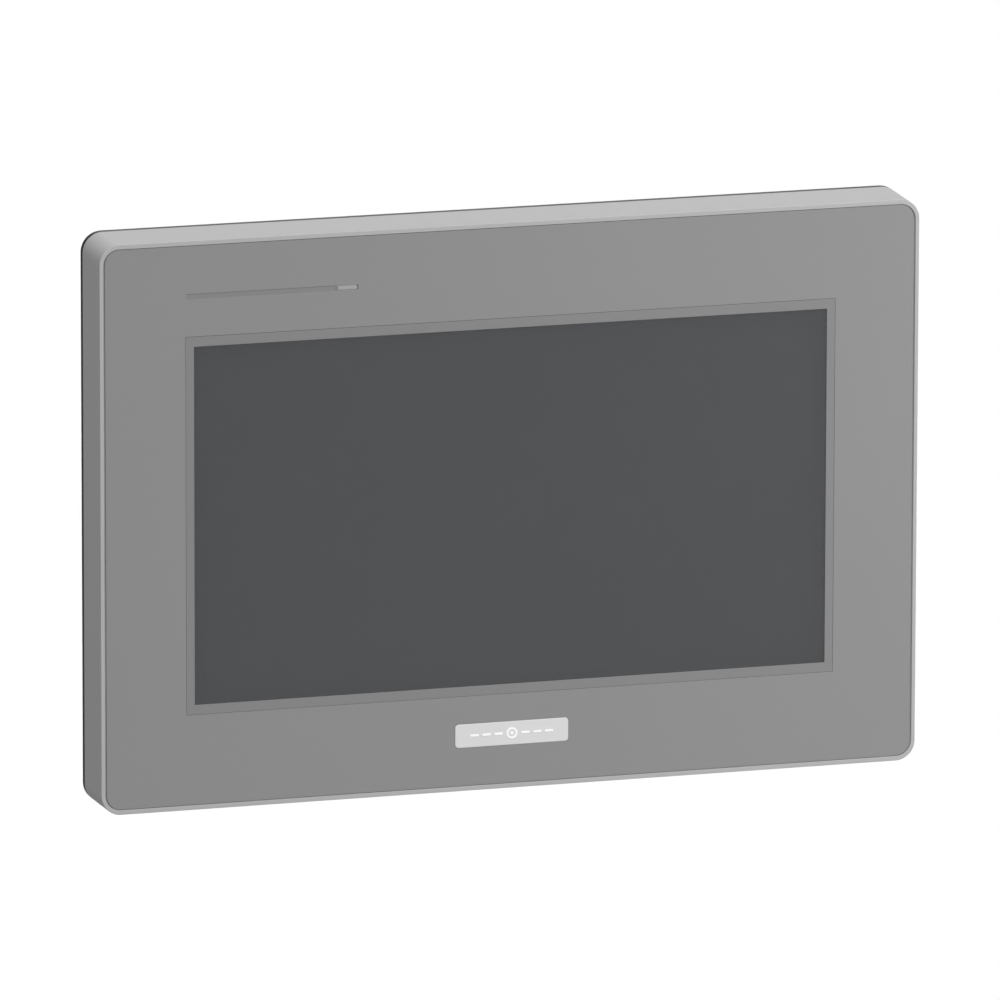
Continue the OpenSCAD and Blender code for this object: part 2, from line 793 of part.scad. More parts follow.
module dsub_shell() {
    flange_low = port_face - dsub_flange_t;
    color("#b9bcbf") translate([dsub_x, dsub_y, 0]) difference() {
        union() {
            translate([0, 0, flange_low]) linear_extrude(dsub_flange_t)
                rounded(dsub_flange_w, dsub_flange_h, 1.5);
            translate([0, 0, flange_low - dsub_shell_len]) linear_extrude(dsub_shell_len + touch)
                dsub_outline(0);
        }
        translate([0, 0, flange_low - dsub_shell_len - cut])
            linear_extrude(dsub_shell_len + dsub_flange_t + 2 * cut) dsub_outline(dsub_wall);
        for (side = [-1, 1]) translate([side * dsub_nut_pitch / 2, 0, flange_low - cut])
            cylinder(h = dsub_flange_t + 2 * cut, r = 1.6);
    }
}

module dsub_insert() {
    color("#1c1d1f") translate([dsub_x, dsub_y, port_face - dsub_flange_t - 0.6])
        linear_extrude(8) dsub_outline(dsub_wall + 0.02);
}

module dsub_pins() {
    pin_r = 0.5;
    pin_len = 4.8;
    top_z = port_face - dsub_flange_t - 0.6;
    color("#cdb45f") translate([dsub_x, dsub_y, top_z - pin_len]) {
        for (i = [-2 : 2]) translate([i * dsub_pin_pitch, -dsub_row_gap / 2, 0])
            cylinder(h = pin_len, r = pin_r);
        for (i = [-1.5 : 1.5]) translate([i * dsub_pin_pitch, dsub_row_gap / 2, 0])
            cylinder(h = pin_len, r = pin_r);
    }
}

module dsub_lock_nuts() {
    nut_len = 5;
    flange_low = port_face - dsub_flange_t;
    color("#aeb1b4") for (side = [-1, 1])
        translate([dsub_x + side * dsub_nut_pitch / 2, dsub_y, flange_low - nut_len])
            difference() {
                cylinder(h = nut_len, r = lock_nut_r, $fn = 6);
                translate([0, 0, -cut]) cylinder(h = nut_len + 2 * cut, r = lock_nut_bore_r);
            }
}

// ---------------------------------------------------------------- service bay

module service_cover() {
    face_y = hinge_y + 0.9;
    color("#303234") difference() {
        union() {
            block(cover_x, hinge_z - cover_h / 2, cover_w, cover_h, face_y - cover_t + 0.1, face_y);
            translate([cover_x, hinge_y, hinge_z]) rotate([0, 90, 0])
                cylinder(h = cover_w, r = barrel_r, center = true);
            translate([cover_x, hinge_y, hinge_z]) rotate([0, 90, 0])
                cylinder(h = cover_w + 2 * (cover_gap + hinge_pin_len), r = hinge_pin_r,
                    center = true);
        }
        for (i = [0 : 4])
            block(cover_x, hinge_z - cover_h + 4 + i * 1.8, 14, 0.8, face_y - 0.4, face_y + cut);
    }
}

module dip_switch() {
    color("#a8322c") difference() {
        block(dip_x, dip_z, dip_count * dip_pitch + 1.6, dip_h, board_back, board_back + dip_t);
        for (i = [0 : dip_count - 1])
            block(dip_x + (i - (dip_count - 1) / 2) * dip_pitch, dip_z, slot_w, slot_h,
                board_back + dip_t - slot_depth, board_back + dip_t + cut);
    }
}

// One coding slider, numbered from the left, at the lower end of its slot
module dip_slider(number) {
    slider_x = dip_x + (number - 1 - (dip_count - 1) / 2) * dip_pitch;
    low_z = dip_z - slot_h / 2 + slider_start + slider_h / 2;
    floor_y = board_back + dip_t - slot_depth + 0.1;
    color("white") block(slider_x, low_z, slider_w, slider_h, floor_y, floor_y + slider_t);
}

module battery_holder() {
    color("#1f2022") difference() {
        union() {
            bar(battery_x, battery_z, battery_r + 1.5, board_back, board_back + holder_t);
            for (side = [-1, 1])
                block(battery_x + side * (battery_r + 1), battery_z, 1.6, 8, board_back,
                    board_back + holder_t + battery_t);
        }
        bar(battery_x, battery_z, battery_r + 0.1, board_back + holder_t - 0.2,
            board_back + holder_t + battery_t + cut);
    }
}

module backup_battery() {
    color("#c8cacc") {
        bar(battery_x, battery_z, battery_r, board_back + holder_t - 0.2,
            board_back + holder_t + battery_t - 0.8);
        bar(battery_x, battery_z, battery_r - 1, board_back + holder_t + battery_t - 0.8 - touch,
            board_back + holder_t + battery_t - 0.4);
    }
}

// ---------------------------------------------------------------- panel clips

// Each clip is drawn at the upper right corner, with its arm stowed along the case
module clip_screw(sx, sz) {
    color("#a4a8ab") at_corner(sx, sz)
        screw(clip_x, clip_z, m4_r, m4_head_r, m4_head_t, ear_back + run_gap, screw_tip);
}

module clip_nut(sx, sz) {
    nut_back = nut_front + nut_t;
    color("#c7a64f") at_corner(sx, sz) difference() {
        union() {
            bar(clip_x, clip_z, nut_r, nut_front, nut_back);
            bar(clip_x, clip_z, nut_flange_r, nut_front, nut_front + nut_flange_t);
            bar(clip_x, clip_z, nut_flange_r, nut_back - nut_flange_t, nut_back);
        }
        bar(clip_x, clip_z, m4_r + run_gap, nut_front - cut, nut_back + cut);
    }
}

module clip_arm(sx, sz) {
    color("#8d9194") at_corner(sx, sz) difference() {
        union() {
            bar(clip_x, clip_z, hub_r, hub_front, hub_back);
            block(clip_x + clip_reach / 2, clip_z, clip_reach, 2 * arm_half,
                hub_back - arm_t, hub_back);
            block(clip_x + clip_reach - leg_len / 2, clip_z, leg_len, 2 * arm_half,
                leg_tip, hub_back);
        }
        bar(clip_x, clip_z, nut_r + run_gap, hub_front - cut, hub_back + cut);
    }
}

bezel();
front_overlay();
badge_plate();
badge_motif();
led_window();
led_board();
touch_film();
touch_glass();
touch_seal();
touch_cable();
lcd_cell();
lcd_frame();
backlight_tray();
lcd_cable();
shield_plate();
shield_screws();
standoffs();
main_board();
board_screws();
board_chips();
heat_sink();
rear_case();
panel_gasket();
case_screws();
rating_label();
power_inlet();
power_pins();
ethernet_jack();
serial_jack();
usb_a_shell();
usb_a_tongue();
usb_micro_socket();
dsub_shell();
dsub_insert();
dsub_pins();
dsub_lock_nuts();
service_cover();
dip_switch();
dip_slider(1);  // dip_slider_1
dip_slider(2);  // dip_slider_2
dip_slider(3);  // dip_slider_3
dip_slider(4);  // dip_slider_4
battery_holder();
backup_battery();
clip_screw(-1, 1);  // clip_screw_top_left
clip_screw(1, 1);  // clip_screw_top_right
clip_screw(-1, -1);  // clip_screw_bottom_left
clip_screw(1, -1);  // clip_screw_bottom_right
clip_nut(-1, 1);  // clip_nut_top_left
clip_nut(1, 1);  // clip_nut_top_right
clip_nut(-1, -1);  // clip_nut_bottom_left
clip_nut(1, -1);  // clip_nut_bottom_right
clip_arm(-1, 1);  // clip_arm_top_left
clip_arm(1, 1);  // clip_arm_top_right
clip_arm(-1, -1);  // clip_arm_bottom_left
clip_arm(1, -1);  // clip_arm_bottom_right
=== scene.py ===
"""Looks of a panel-mounted touch terminal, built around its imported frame.

Sizes in the classes are millimetres in the frame's own axes: +X to the operator's right,
+Y into the cabinet, +Z up, with the gasket's seat at Y 0. Meshes are made in metres.
"""

import logging
import math
from dataclasses import dataclass, field
from enum import Enum

import bmesh
import bpy
from mathutils import Matrix, Vector
from mathutils.geometry import tessellate_polygon


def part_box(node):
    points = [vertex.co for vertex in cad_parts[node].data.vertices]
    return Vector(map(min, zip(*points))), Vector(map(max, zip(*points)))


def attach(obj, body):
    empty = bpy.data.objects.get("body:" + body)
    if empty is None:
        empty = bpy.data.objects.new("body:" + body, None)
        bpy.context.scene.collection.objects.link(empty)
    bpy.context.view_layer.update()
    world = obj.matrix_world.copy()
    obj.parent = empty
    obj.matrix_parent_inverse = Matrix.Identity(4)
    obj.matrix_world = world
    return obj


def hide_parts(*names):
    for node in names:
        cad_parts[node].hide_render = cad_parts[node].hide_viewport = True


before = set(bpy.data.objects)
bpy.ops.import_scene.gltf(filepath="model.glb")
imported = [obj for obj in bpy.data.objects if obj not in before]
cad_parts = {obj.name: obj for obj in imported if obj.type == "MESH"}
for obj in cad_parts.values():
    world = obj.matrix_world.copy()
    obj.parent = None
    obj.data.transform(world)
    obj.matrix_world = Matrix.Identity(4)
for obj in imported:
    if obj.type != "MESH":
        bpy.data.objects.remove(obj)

MM = 0.001
CORNER_STEPS = 12                 # facets of each round corner
SUPPORT = 0.12                    # flat strip kept beside a rounded edge
CRISP_DEGREES = 21                # edges that turn more are shaded sharp
WELD_REACH = 0.002                # corners of CAD faces nearer than this are joined
HAIR = 0.02                       # smallest rounding or overlap that is drawn
WEAR_HIGHLIGHT_REACH = 0.25                 # width of the lighter edge strip: part scuffing, part painted highlight
WEAR_HIGHLIGHT_SAMPLES = 4                  # rays that find that strip
WEAR_HIGHLIGHT_TURN = 0.85                  # cosine of the turn at which an edge gets its full scuffing and painted highlight
WEAR_HIGHLIGHT_GAIN, WEAR_HIGHLIGHT_LIFT = 1.6, 0.05  # colour of an edge's scuffing and painted highlight, from the finish's own colour
NOISE_LOW, NOISE_HIGH = 0.3, 0.7  # range that holds most values of a noise
SMOOTHEST = 0.02                  # least roughness of any finish
SUN_DEGREES = 40                  # apparent size of the soft suns
log = logging.getLogger("touch_terminal")

Point = tuple[float, float]
Direction = tuple[float, float, float]
Ring = tuple[float, float]
Colour = tuple[float, float, float]


class Slot(Enum):
    """Material slots of the record, one named for each new piece."""

    FRAME = "frame_silver"
    SHEET = "overlay_grey"
    BADGE = "badge_grey"
    LIGHT = "light_pipe"
    WINDOW = "touch_window"
    SCREW = "screw_steel"
    BRASS = "brass"
    LABEL = "label_silver"
    CHIP = "chip_black"


class Corner(Enum):
    """The four panel clips, by the side of the screen that the operator sees."""

    TOP_LEFT = "top_left"
    TOP_RIGHT = "top_right"
    BOTTOM_LEFT = "bottom_left"
    BOTTOM_RIGHT = "bottom_right"


# ------------------------------------------------------------------ finishes


@dataclass(frozen=True)
class Finish:
    """A surface finish: colour, gloss, fine grain and slow tone changes.

    Attributes:
        name: Name of the material.
        colour: Base colour, linear.
        roughness: Middle roughness.
        metallic: 1 for bare metal.
        specular: Specular level of the shader.
        grain_mm: Size of the fine grain.
        grain_depth_mm: Height of the fine grain.
        tone: Share by which the colour varies lighter and darker.
        gloss_spread: Amount by which the roughness varies.
        patch_mm: Size of the slow tone changes.
        patch_share: Weight of the slow changes in the gloss; the grain has the rest.
        tone_share: Weight of the slow changes in the colour.
        wear_and_highlight: Share by which exposed edges are lighter, partly as scuffing and partly as
            a painted highlight.
        coat: Weight of a clear coat.
        coat_roughness: Roughness of that coat.
        alpha: Opacity.
        stretch: Grain size along each axis, as a multiple of grain_mm.
    """

    name: str
    colour: Colour
    roughness: float = 0.5
    metallic: float = 0.0
    specular: float = 0.5
    grain_mm: float = 0.5
    grain_depth_mm: float = 0.004
    tone: float = 0.05
    gloss_spread: float = 0.05
    patch_mm: float = 25.0
    patch_share: float = 0.4
    tone_share: float = 0.5
    wear_and_highlight: float = 0.0
    coat: float = 0.0
    coat_roughness: float = 0.15
    alpha: float = 1.0
    stretch: tuple[float, float, float] = (1.0, 1.0, 1.0)

    def material(self) -> bpy.types.Material:
        """Returns the finish's material, made on first use."""
        name = f"{self.name}_finish"
        made = bpy.data.materials.get(name)
        if made is None:
            made = bpy.data.materials.new(name)
            made.use_nodes = True
            self.wire(made.node_tree)
        return made

    def wire(self, tree: bpy.types.NodeTree) -> None:
        """Fills the node tree.

        Args:
            tree: The material's node tree, with its first shader in it.
        """
        shader = tree.nodes["Principled BSDF"]
        shader.inputs["Metallic"].default_value = self.metallic
        shader.inputs["Specular IOR Level"].default_value = self.specular
        shader.inputs["Coat Weight"].default_value = self.coat
        shader.inputs["Coat Roughness"].default_value = self.coat_roughness
        shader.inputs["Alpha"].default_value = self.alpha
        place = tree.nodes.new("ShaderNodeTexCoord").outputs["Object"]
        grain = self.noise(tree, place, self.grain_mm, self.stretch, 3.0)
        patch = self.noise(tree, place, self.patch_mm, (1.0, 1.0, 1.0), 2.0)
        tree.links.new(self.tint(tree, place, grain, patch), shader.inputs["Base Color"])
        tree.links.new(self.gloss(tree, grain, patch), shader.inputs["Roughness"])
        bump = tree.nodes.new("ShaderNodeBump")
        bump.inputs["Distance"].default_value = self.grain_depth_mm * MM
        tree.links.new(self.height(tree, place, grain), bump.inputs["Height"])
        tree.links.new(bump.outputs["Normal"], shader.inputs["Normal"])

    def noise(self, tree: bpy.types.NodeTree, place: bpy.types.NodeSocket, size_mm: float,
              stretch: tuple[float, float, float], detail: float) -> bpy.types.NodeSocket:
        """Adds a noise of a real size.

        Args:
            tree: Node tree to add to.
            place: Position socket, in metres.
            size_mm: Size of one feature.
            stretch: Multiple of that size along each axis.
            detail: Octaves of the noise.

        Returns:
            The noise's value socket.
        """
        mapping = tree.nodes.new("ShaderNodeMapping")
        mapping.inputs["Scale"].default_value = [1.0 / s for s in stretch]
        tree.links.new(place, mapping.inputs["Vector"])
        texture = tree.nodes.new("ShaderNodeTexNoise")
        texture.inputs["Scale"].default_value = 1.0 / (size_mm * MM)
        texture.inputs["Detail"].default_value = detail
        tree.links.new(mapping.outputs["Vector"], texture.inputs["Vector"])
        return texture.outputs["Fac"]

    def tint(self, tree: bpy.types.NodeTree, place: bpy.types.NodeSocket,
             grain: bpy.types.NodeSocket, patch: bpy.types.NodeSocket) -> bpy.types.NodeSocket:
        """Adds the colour: darker and lighter patches, and lighter edges, partly scuffing and partly a
        painted highlight.

        Args:
            tree: Node tree to add to.
            place: Position socket; not used.
            grain: Fine noise.
            patch: Slow noise.

        Returns:
            The colour socket.
        """
        mixed = self.blend_values(tree, grain, patch, self.tone_share)
        ramp = tree.nodes.new("ShaderNodeValToRGB")
        ramp.color_ramp.elements[0].position = NOISE_LOW
        ramp.color_ramp.elements[1].position = NOISE_HIGH
        ramp.color_ramp.elements[0].color = (*(c * (1 - self.tone) for c in self.colour), 1)
        ramp.color_ramp.elements[1].color = (*(min(c * (1 + self.tone), 1) for c in self.colour), 1)
        tree.links.new(mixed, ramp.inputs["Fac"])
        if not self.wear_and_highlight:
            return ramp.outputs["Color"]
        # Exposed edges are lighter, partly scuffing and partly a painted highlight, where the bevelled
        # normal turns away from the true one.
        edge = tree.nodes.new("ShaderNodeMapRange")
        edge.inputs["From Min"].default_value = 1.0
        edge.inputs["From Max"].default_value = WEAR_HIGHLIGHT_TURN
        edge.inputs["To Max"].default_value = self.wear_and_highlight
        rounded = tree.nodes.new("ShaderNodeBevel")
        rounded.samples = WEAR_HIGHLIGHT_SAMPLES
        rounded.inputs["Radius"].default_value = WEAR_HIGHLIGHT_REACH * MM
        turn = tree.nodes.new("ShaderNodeVectorMath")
        turn.operation = "DOT_PRODUCT"
        facing = tree.nodes.new("ShaderNodeNewGeometry").outputs["Normal"]
        tree.links.new(rounded.outputs["Normal"], turn.inputs[0])
        tree.links.new(facing, turn.inputs[1])
        tree.links.new(turn.outputs["Value"], edge.inputs["Value"])
        wear_highlight_mix = tree.nodes.new("ShaderNodeMix")
        wear_highlight_mix.data_type = "RGBA"
        wear_highlight_base = [s for s in wear_highlight_mix.inputs if s.name == "A" and s.type == "RGBA"][0]
        wear_highlight_colour = [s for s in wear_highlight_mix.inputs if s.name == "B" and s.type == "RGBA"][0]
        wear_highlight_colour.default_value = (*(min(c * WEAR_HIGHLIGHT_GAIN + WEAR_HIGHLIGHT_LIFT, 1) for c in self.colour), 1)
        tree.links.new(edge.outputs["Result"], wear_highlight_mix.inputs["Factor"])
        tree.links.new(ramp.outputs["Color"], wear_highlight_base)
        return [s for s in wear_highlight_mix.outputs if s.type == "RGBA"][0]

    def blend_values(self, tree: bpy.types.NodeTree, a: bpy.types.NodeSocket,
                     b: bpy.types.NodeSocket, share: float) -> bpy.types.NodeSocket:
        """Mixes two values.

        Args:
            tree: Node tree to add to.
            a: First value.
            b: Second value.
            share: Weight of the second value.

        Returns:
            The mixed value socket.
        """
        mix = tree.nodes.new("ShaderNodeMix")
        mix.inputs["Factor"].default_value = share
        tree.links.new(a, mix.inputs["A"])
        tree.links.new(b, mix.inputs["B"])
        return mix.outputs["Result"]

    def gloss(self, tree: bpy.types.NodeTree, grain: bpy.types.NodeSocket,
              patch: bpy.types.NodeSocket) -> bpy.types.NodeSocket:
        """Adds the roughness, which varies with the grain and the patches.

        Args:
            tree: Node tree to add to.
            grain: Fine noise.
            patch: Slow noise.

        Returns:
            The roughness socket.
        """
        spread = tree.nodes.new("ShaderNodeMapRange")
        spread.inputs["From Min"].default_value = NOISE_LOW
        spread.inputs["From Max"].default_value = NOISE_HIGH
        spread.inputs["To Min"].default_value = max(self.roughness - self.gloss_spread, SMOOTHEST)
        spread.inputs["To Max"].default_value = min(self.roughness + self.gloss_spread, 1.0)
        tree.links.new(self.blend_values(tree, grain, patch, self.patch_share), spread.inputs["Value"])
        return spread.outputs["Result"]

    def height(self, tree: bpy.types.NodeTree, place: bpy.types.NodeSocket,
               grain: bpy.types.NodeSocket) -> bpy.types.NodeSocket:
        """Returns the height socket for the bump; a plain finish uses its grain."""
        return grain


@dataclass(frozen=True)
class ErodedPlastic(Finish):
    """Moulded plastic with a spark-eroded skin: small rounded pits between fine peaks."""

    pit_mm: float = 0.45
    fine_share: float = 0.4

    def height(self, tree: bpy.types.NodeTree, place: bpy.types.NodeSocket,
               grain: bpy.types.NodeSocket) -> bpy.types.NodeSocket:
        """Adds the pits.

        Args:
            tree: Node tree to add to.
            place: Position socket.
            grain: Fine noise.

        Returns:
            The height socket.
        """
        pits = tree.nodes.new("ShaderNodeTexVoronoi")
        pits.feature = "SMOOTH_F1"
        pits.inputs["Scale"].default_value = 1.0 / (self.pit_mm * MM)
        tree.links.new(place, pits.inputs["Vector"])
        return self.blend_values(tree, pits.outputs["Distance"], grain, self.fine_share)


@dataclass(frozen=True)
class CircuitBoard(Finish):
    """Solder-resist green with raised, lighter conductor runs in a square pattern."""

    run_mm: float = 1.1
    run_share: float = 0.24
    run_gain: float = 2.1

    def tint(self, tree: bpy.types.NodeTree, place: bpy.types.NodeSocket,
             grain: bpy.types.NodeSocket, patch: bpy.types.NodeSocket) -> bpy.types.NodeSocket:
        """Adds the conductor runs to the green.

        Args:
            tree: Node tree to add to.
            place: Position socket.
            grain: Fine noise; not used.
            patch: Slow noise; not used.

        Returns:
            The colour socket.
        """
        cells = self.vector_step(tree, "SCALE", place)
        cells.node.inputs["Scale"].default_value = 1.0 / (self.run_mm * MM)
        chance = tree.nodes.new("ShaderNodeTexWhiteNoise")
        chance.noise_dimensions = "3D"
        tree.links.new(self.vector_step(tree, "FLOOR", cells), chance.inputs["Vector"])
        across = self.value_step(tree, "GREATER_THAN", chance.outputs["Value"], 0.5)
        within = tree.nodes.new("ShaderNodeSeparateXYZ")
        tree.links.new(self.vector_step(tree, "FRACTION", cells), within.inputs["Vector"])
        lines = [self.value_step(tree, "LESS_THAN", self.value_step(
            tree, "ABSOLUTE", self.value_step(tree, "SUBTRACT", within.outputs[axis], 0.5), 0.0),
            self.run_share / 2) for axis in ("X", "Z")]
        choice = tree.nodes.new("ShaderNodeMix")
        for source, socket in zip((across, *lines), ("Factor", "A", "B")):
            tree.links.new(source, choice.inputs[socket])
        ramp = tree.nodes.new("ShaderNodeValToRGB")
        ramp.color_ramp.elements[0].color = (*self.colour, 1)
        ramp.color_ramp.elements[1].color = (*(min(c * self.run_gain, 1) for c in self.colour), 1)
        tree.links.new(choice.outputs["Result"], ramp.inputs["Fac"])
        return ramp.outputs["Color"]

    def vector_step(self, tree: bpy.types.NodeTree, operation: str,
                    source: bpy.types.NodeSocket) -> bpy.types.NodeSocket:
        """Returns the vector output of one vector operation."""
        node = tree.nodes.new("ShaderNodeVectorMath")
        node.operation = operation
        tree.links.new(source, node.inputs[0])
        return node.outputs["Vector"]

    def value_step(self, tree: bpy.types.NodeTree, operation: str, source: bpy.types.NodeSocket,
                   other: float) -> bpy.types.NodeSocket:
        """Returns the output of one operation on a value and a number."""
        node = tree.nodes.new("ShaderNodeMath")
        node.operation = operation
        tree.links.new(source, node.inputs[0])
        node.inputs[1].default_value = other
        return node.outputs["Value"]


@dataclass(frozen=True)
class FloorPaper(Finish):
    """Pale paper, clear from its underside, that throws back only a share of its light."""

    thrown_back: float = 0.35

    def wire(self, tree: bpy.types.NodeTree) -> None:
        """Fills the node tree, with the underside left clear.

        Args:
            tree: The material's node tree, with its first shader in it.
        """
        super().wire(tree)
        side = tree.nodes.new("ShaderNodeNewGeometry").outputs["Backfacing"]
        mix = tree.nodes.new("ShaderNodeMixShader")
        clear = tree.nodes.new("ShaderNodeBsdfTransparent")
        output = tree.nodes["Material Output"]
        tree.links.new(side, mix.inputs[0])
        tree.links.new(tree.nodes["Principled BSDF"].outputs["BSDF"], mix.inputs[1])
        tree.links.new(clear.outputs["BSDF"], mix.inputs[2])
        tree.links.new(mix.outputs["Shader"], output.inputs["Surface"])
        seen = tree.nodes.new("ShaderNodeLightPath").outputs["Is Camera Ray"]
        share = tree.nodes.new("ShaderNodeMapRange")
        share.inputs["To Min"].default_value = self.thrown_back
        tree.links.new(seen, share.inputs["Value"])
        dimmed = tree.nodes.new("ShaderNodeVectorMath")
        dimmed.operation = "SCALE"
        colour = tree.nodes["Principled BSDF"].inputs["Base Color"]
        tree.links.new(colour.links[0].from_socket, dimmed.inputs[0])
        tree.links.new(share.outputs["Result"], dimmed.inputs["Scale"])
        tree.links.new(dimmed.outputs["Vector"], colour)


# Where a finish below sets an edge share, its exposed edges are lighter: partly scuffing, partly a
# painted highlight.
FRAME_PAINT = Finish("frame_paint", (0.374, 0.374, 0.375), roughness=0.6, specular=0.06,
                     grain_mm=0.35, grain_depth_mm=0.0015, tone=0.012, wear_and_highlight=0.12)
SHEET_FILM = Finish("sheet_film", (0.2255, 0.2255, 0.2255), roughness=0.5, specular=0.3, grain_mm=0.25,
                    grain_depth_mm=0.0012, tone=0.01, gloss_spread=0.03, patch_mm=60)
LINE_INK = Finish("line_ink", (0.2, 0.2, 0.201), roughness=0.5, specular=0.3, grain_mm=0.25,
                  grain_depth_mm=0.001, tone=0.01, gloss_spread=0.03)
BORDER_INK = Finish("border_ink", (0.203, 0.203, 0.203), roughness=0.4, specular=0.3, grain_mm=0.3,
                    grain_depth_mm=0.0005, tone=0.01, gloss_spread=0.02)
WINDOW_FILM = Finish("window_film", (0.094, 0.095, 0.1015), roughness=0.28, grain_mm=0.2,
                     grain_depth_mm=0.0004, tone=0.01, gloss_spread=0.02, patch_mm=60, alpha=0.45)
CLEAR_GLASS = Finish("clear_glass", (0.5, 0.56, 0.54), roughness=0.05, grain_mm=2,
                     grain_depth_mm=0.0, tone=0.02, gloss_spread=0.01, alpha=0.12)
CELL_GLASS = Finish("cell_glass", (0.077, 0.078, 0.0835), roughness=0.25, grain_mm=0.3,
                    grain_depth_mm=0.0, tone=0.02, gloss_spread=0.02, patch_mm=60)
BADGE_SILVER = Finish("badge_silver", (0.6, 0.6, 0.6), roughness=0.4, grain_mm=0.2,
                      grain_depth_mm=0.0008, tone=0.015, coat=0.3)
BADGE_WHITE = Finish("badge_white", (0.86, 0.86, 0.86), roughness=0.4, grain_mm=0.2,
                     grain_depth_mm=0.0008, tone=0.01)
LIGHT_PIPE = Finish("light_pipe", (0.3, 0.305, 0.3), roughness=0.35, grain_mm=0.3,
                    grain_depth_mm=0.001, tone=0.03, coat=0.4)
CASE_PLASTIC = ErodedPlastic("case_plastic", (0.022, 0.022, 0.024), roughness=0.6,
                             specular=0.25, grain_mm=0.3, grain_depth_mm=0.02, tone=0.1,
                             gloss_spread=0.08, wear_and_highlight=0.35)
COVER_PLASTIC = ErodedPlastic("cover_plastic", (0.034, 0.035, 0.037), roughness=0.5,
                              grain_mm=0.25, grain_depth_mm=0.015, tone=0.1, wear_and_highlight=0.35)
GASKET_RUBBER = Finish("gasket_rubber", (0.012, 0.012, 0.013), roughness=0.75, grain_mm=0.6,
                       grain_depth_mm=0.012, tone=0.2, gloss_spread=0.08)
FOAM = Finish("foam", (0.015, 0.015, 0.015), roughness=0.95, grain_mm=0.4, grain_depth_mm=0.05,
              tone=0.3)
ZINC_SCREW = Finish("zinc_screw", (0.56, 0.57, 0.6), roughness=0.3, metallic=1, grain_mm=0.3,
                    grain_depth_mm=0.002, tone=0.08, gloss_spread=0.1, patch_mm=3, wear_and_highlight=0.3)
ZINC_SHEET = Finish("zinc_sheet", (0.6, 0.61, 0.62), roughness=0.38, metallic=1, grain_mm=0.4,
                    grain_depth_mm=0.002, tone=0.1, gloss_spread=0.12, patch_mm=5,
                    stretch=(12, 1, 1))
ZINC_CAST = Finish("zinc_cast", (0.27, 0.275, 0.285), roughness=0.5, metallic=1, grain_mm=0.4,
                   grain_depth_mm=0.02, tone=0.12, gloss_spread=0.1, patch_mm=4, wear_and_highlight=0.4)
TURNED_BRASS = Finish("turned_brass", (0.62, 0.44, 0.17), roughness=0.28, metallic=1,
                      grain_mm=0.15, grain_depth_mm=0.002, tone=0.1, gloss_spread=0.1,
                      patch_mm=3, stretch=(8, 1, 8))
GOLD_PLATE = Finish("gold_plate", (0.78, 0.56, 0.2), roughness=0.22, metallic=1, grain_mm=0.2,
                    grain_depth_mm=0.0006, tone=0.06)
TIN_PLATE = Finish("tin_plate", (0.62, 0.63, 0.64), roughness=0.26, metallic=1, grain_mm=0.25,
                   grain_depth_mm=0.001, tone=0.08, gloss_spread=0.1, patch_mm=4, wear_and_highlight=0.2)
EXTRUDED_ALUMINIUM = Finish("extruded_aluminium", (0.55, 0.56, 0.57), roughness=0.4, metallic=1,
                            grain_mm=0.15, grain_depth_mm=0.003, tone=0.08, stretch=(1, 1, 20))
JACK_PLASTIC = Finish("jack_plastic", (0.02, 0.02, 0.022), roughness=0.4, grain_mm=0.3,
                      grain_depth_mm=0.004, tone=0.1)
CHIP_EPOXY = Finish("chip_epoxy", (0.022, 0.022, 0.024), roughness=0.6, grain_mm=0.12,
                    grain_depth_mm=0.006, tone=0.15)
INLET_PLASTIC = Finish("inlet_plastic", (0.03, 0.19, 0.1), roughness=0.38, grain_mm=0.3,
                       grain_depth_mm=0.003, tone=0.06)
WHITE_PLASTIC = Finish("white_plastic", (0.78, 0.78, 0.75), roughness=0.35, grain_mm=0.3,
                       grain_depth_mm=0.002, tone=0.03)
RED_PLASTIC = Finish("red_plastic", (0.42, 0.03, 0.025), roughness=0.33, grain_mm=0.3,
                     grain_depth_mm=0.002, tone=0.05)
CABLE_FILM = Finish("cable_film", (0.5, 0.24, 0.05), roughness=0.3, grain_mm=0.4,
                    grain_depth_mm=0.001, tone=0.12, coat=0.5, stretch=(1, 30, 30))
LABEL_FILM = Finish("label_film", (0.5, 0.505, 0.51), roughness=0.55, specular=0.3,
                    grain_mm=0.12, grain_depth_mm=0.001, tone=0.03, stretch=(10, 1, 1))
LABEL_INK = Finish("label_ink", (0.03, 0.03, 0.032), roughness=0.5, grain_mm=0.2,
                   grain_depth_mm=0.0004, tone=0.1)
BATTERY_STEEL = Finish("battery_steel", (0.6, 0.61, 0.62), roughness=0.3, metallic=1,
                       grain_mm=0.15, grain_depth_mm=0.001, tone=0.08, patch_mm=4)
BOARD_GREEN = CircuitBoard("board_green", (0.018, 0.11, 0.045), roughness=0.32, grain_mm=0.4,
                           grain_depth_mm=0.006, tone=0.1, coat=0.4)
PAPER_FLOOR = FloorPaper("paper_floor", (0.83, 0.83, 0.83), roughness=0.9, grain_mm=3,
                         grain_depth_mm=0.02, tone=0.004, gloss_spread=0.02, patch_mm=400)

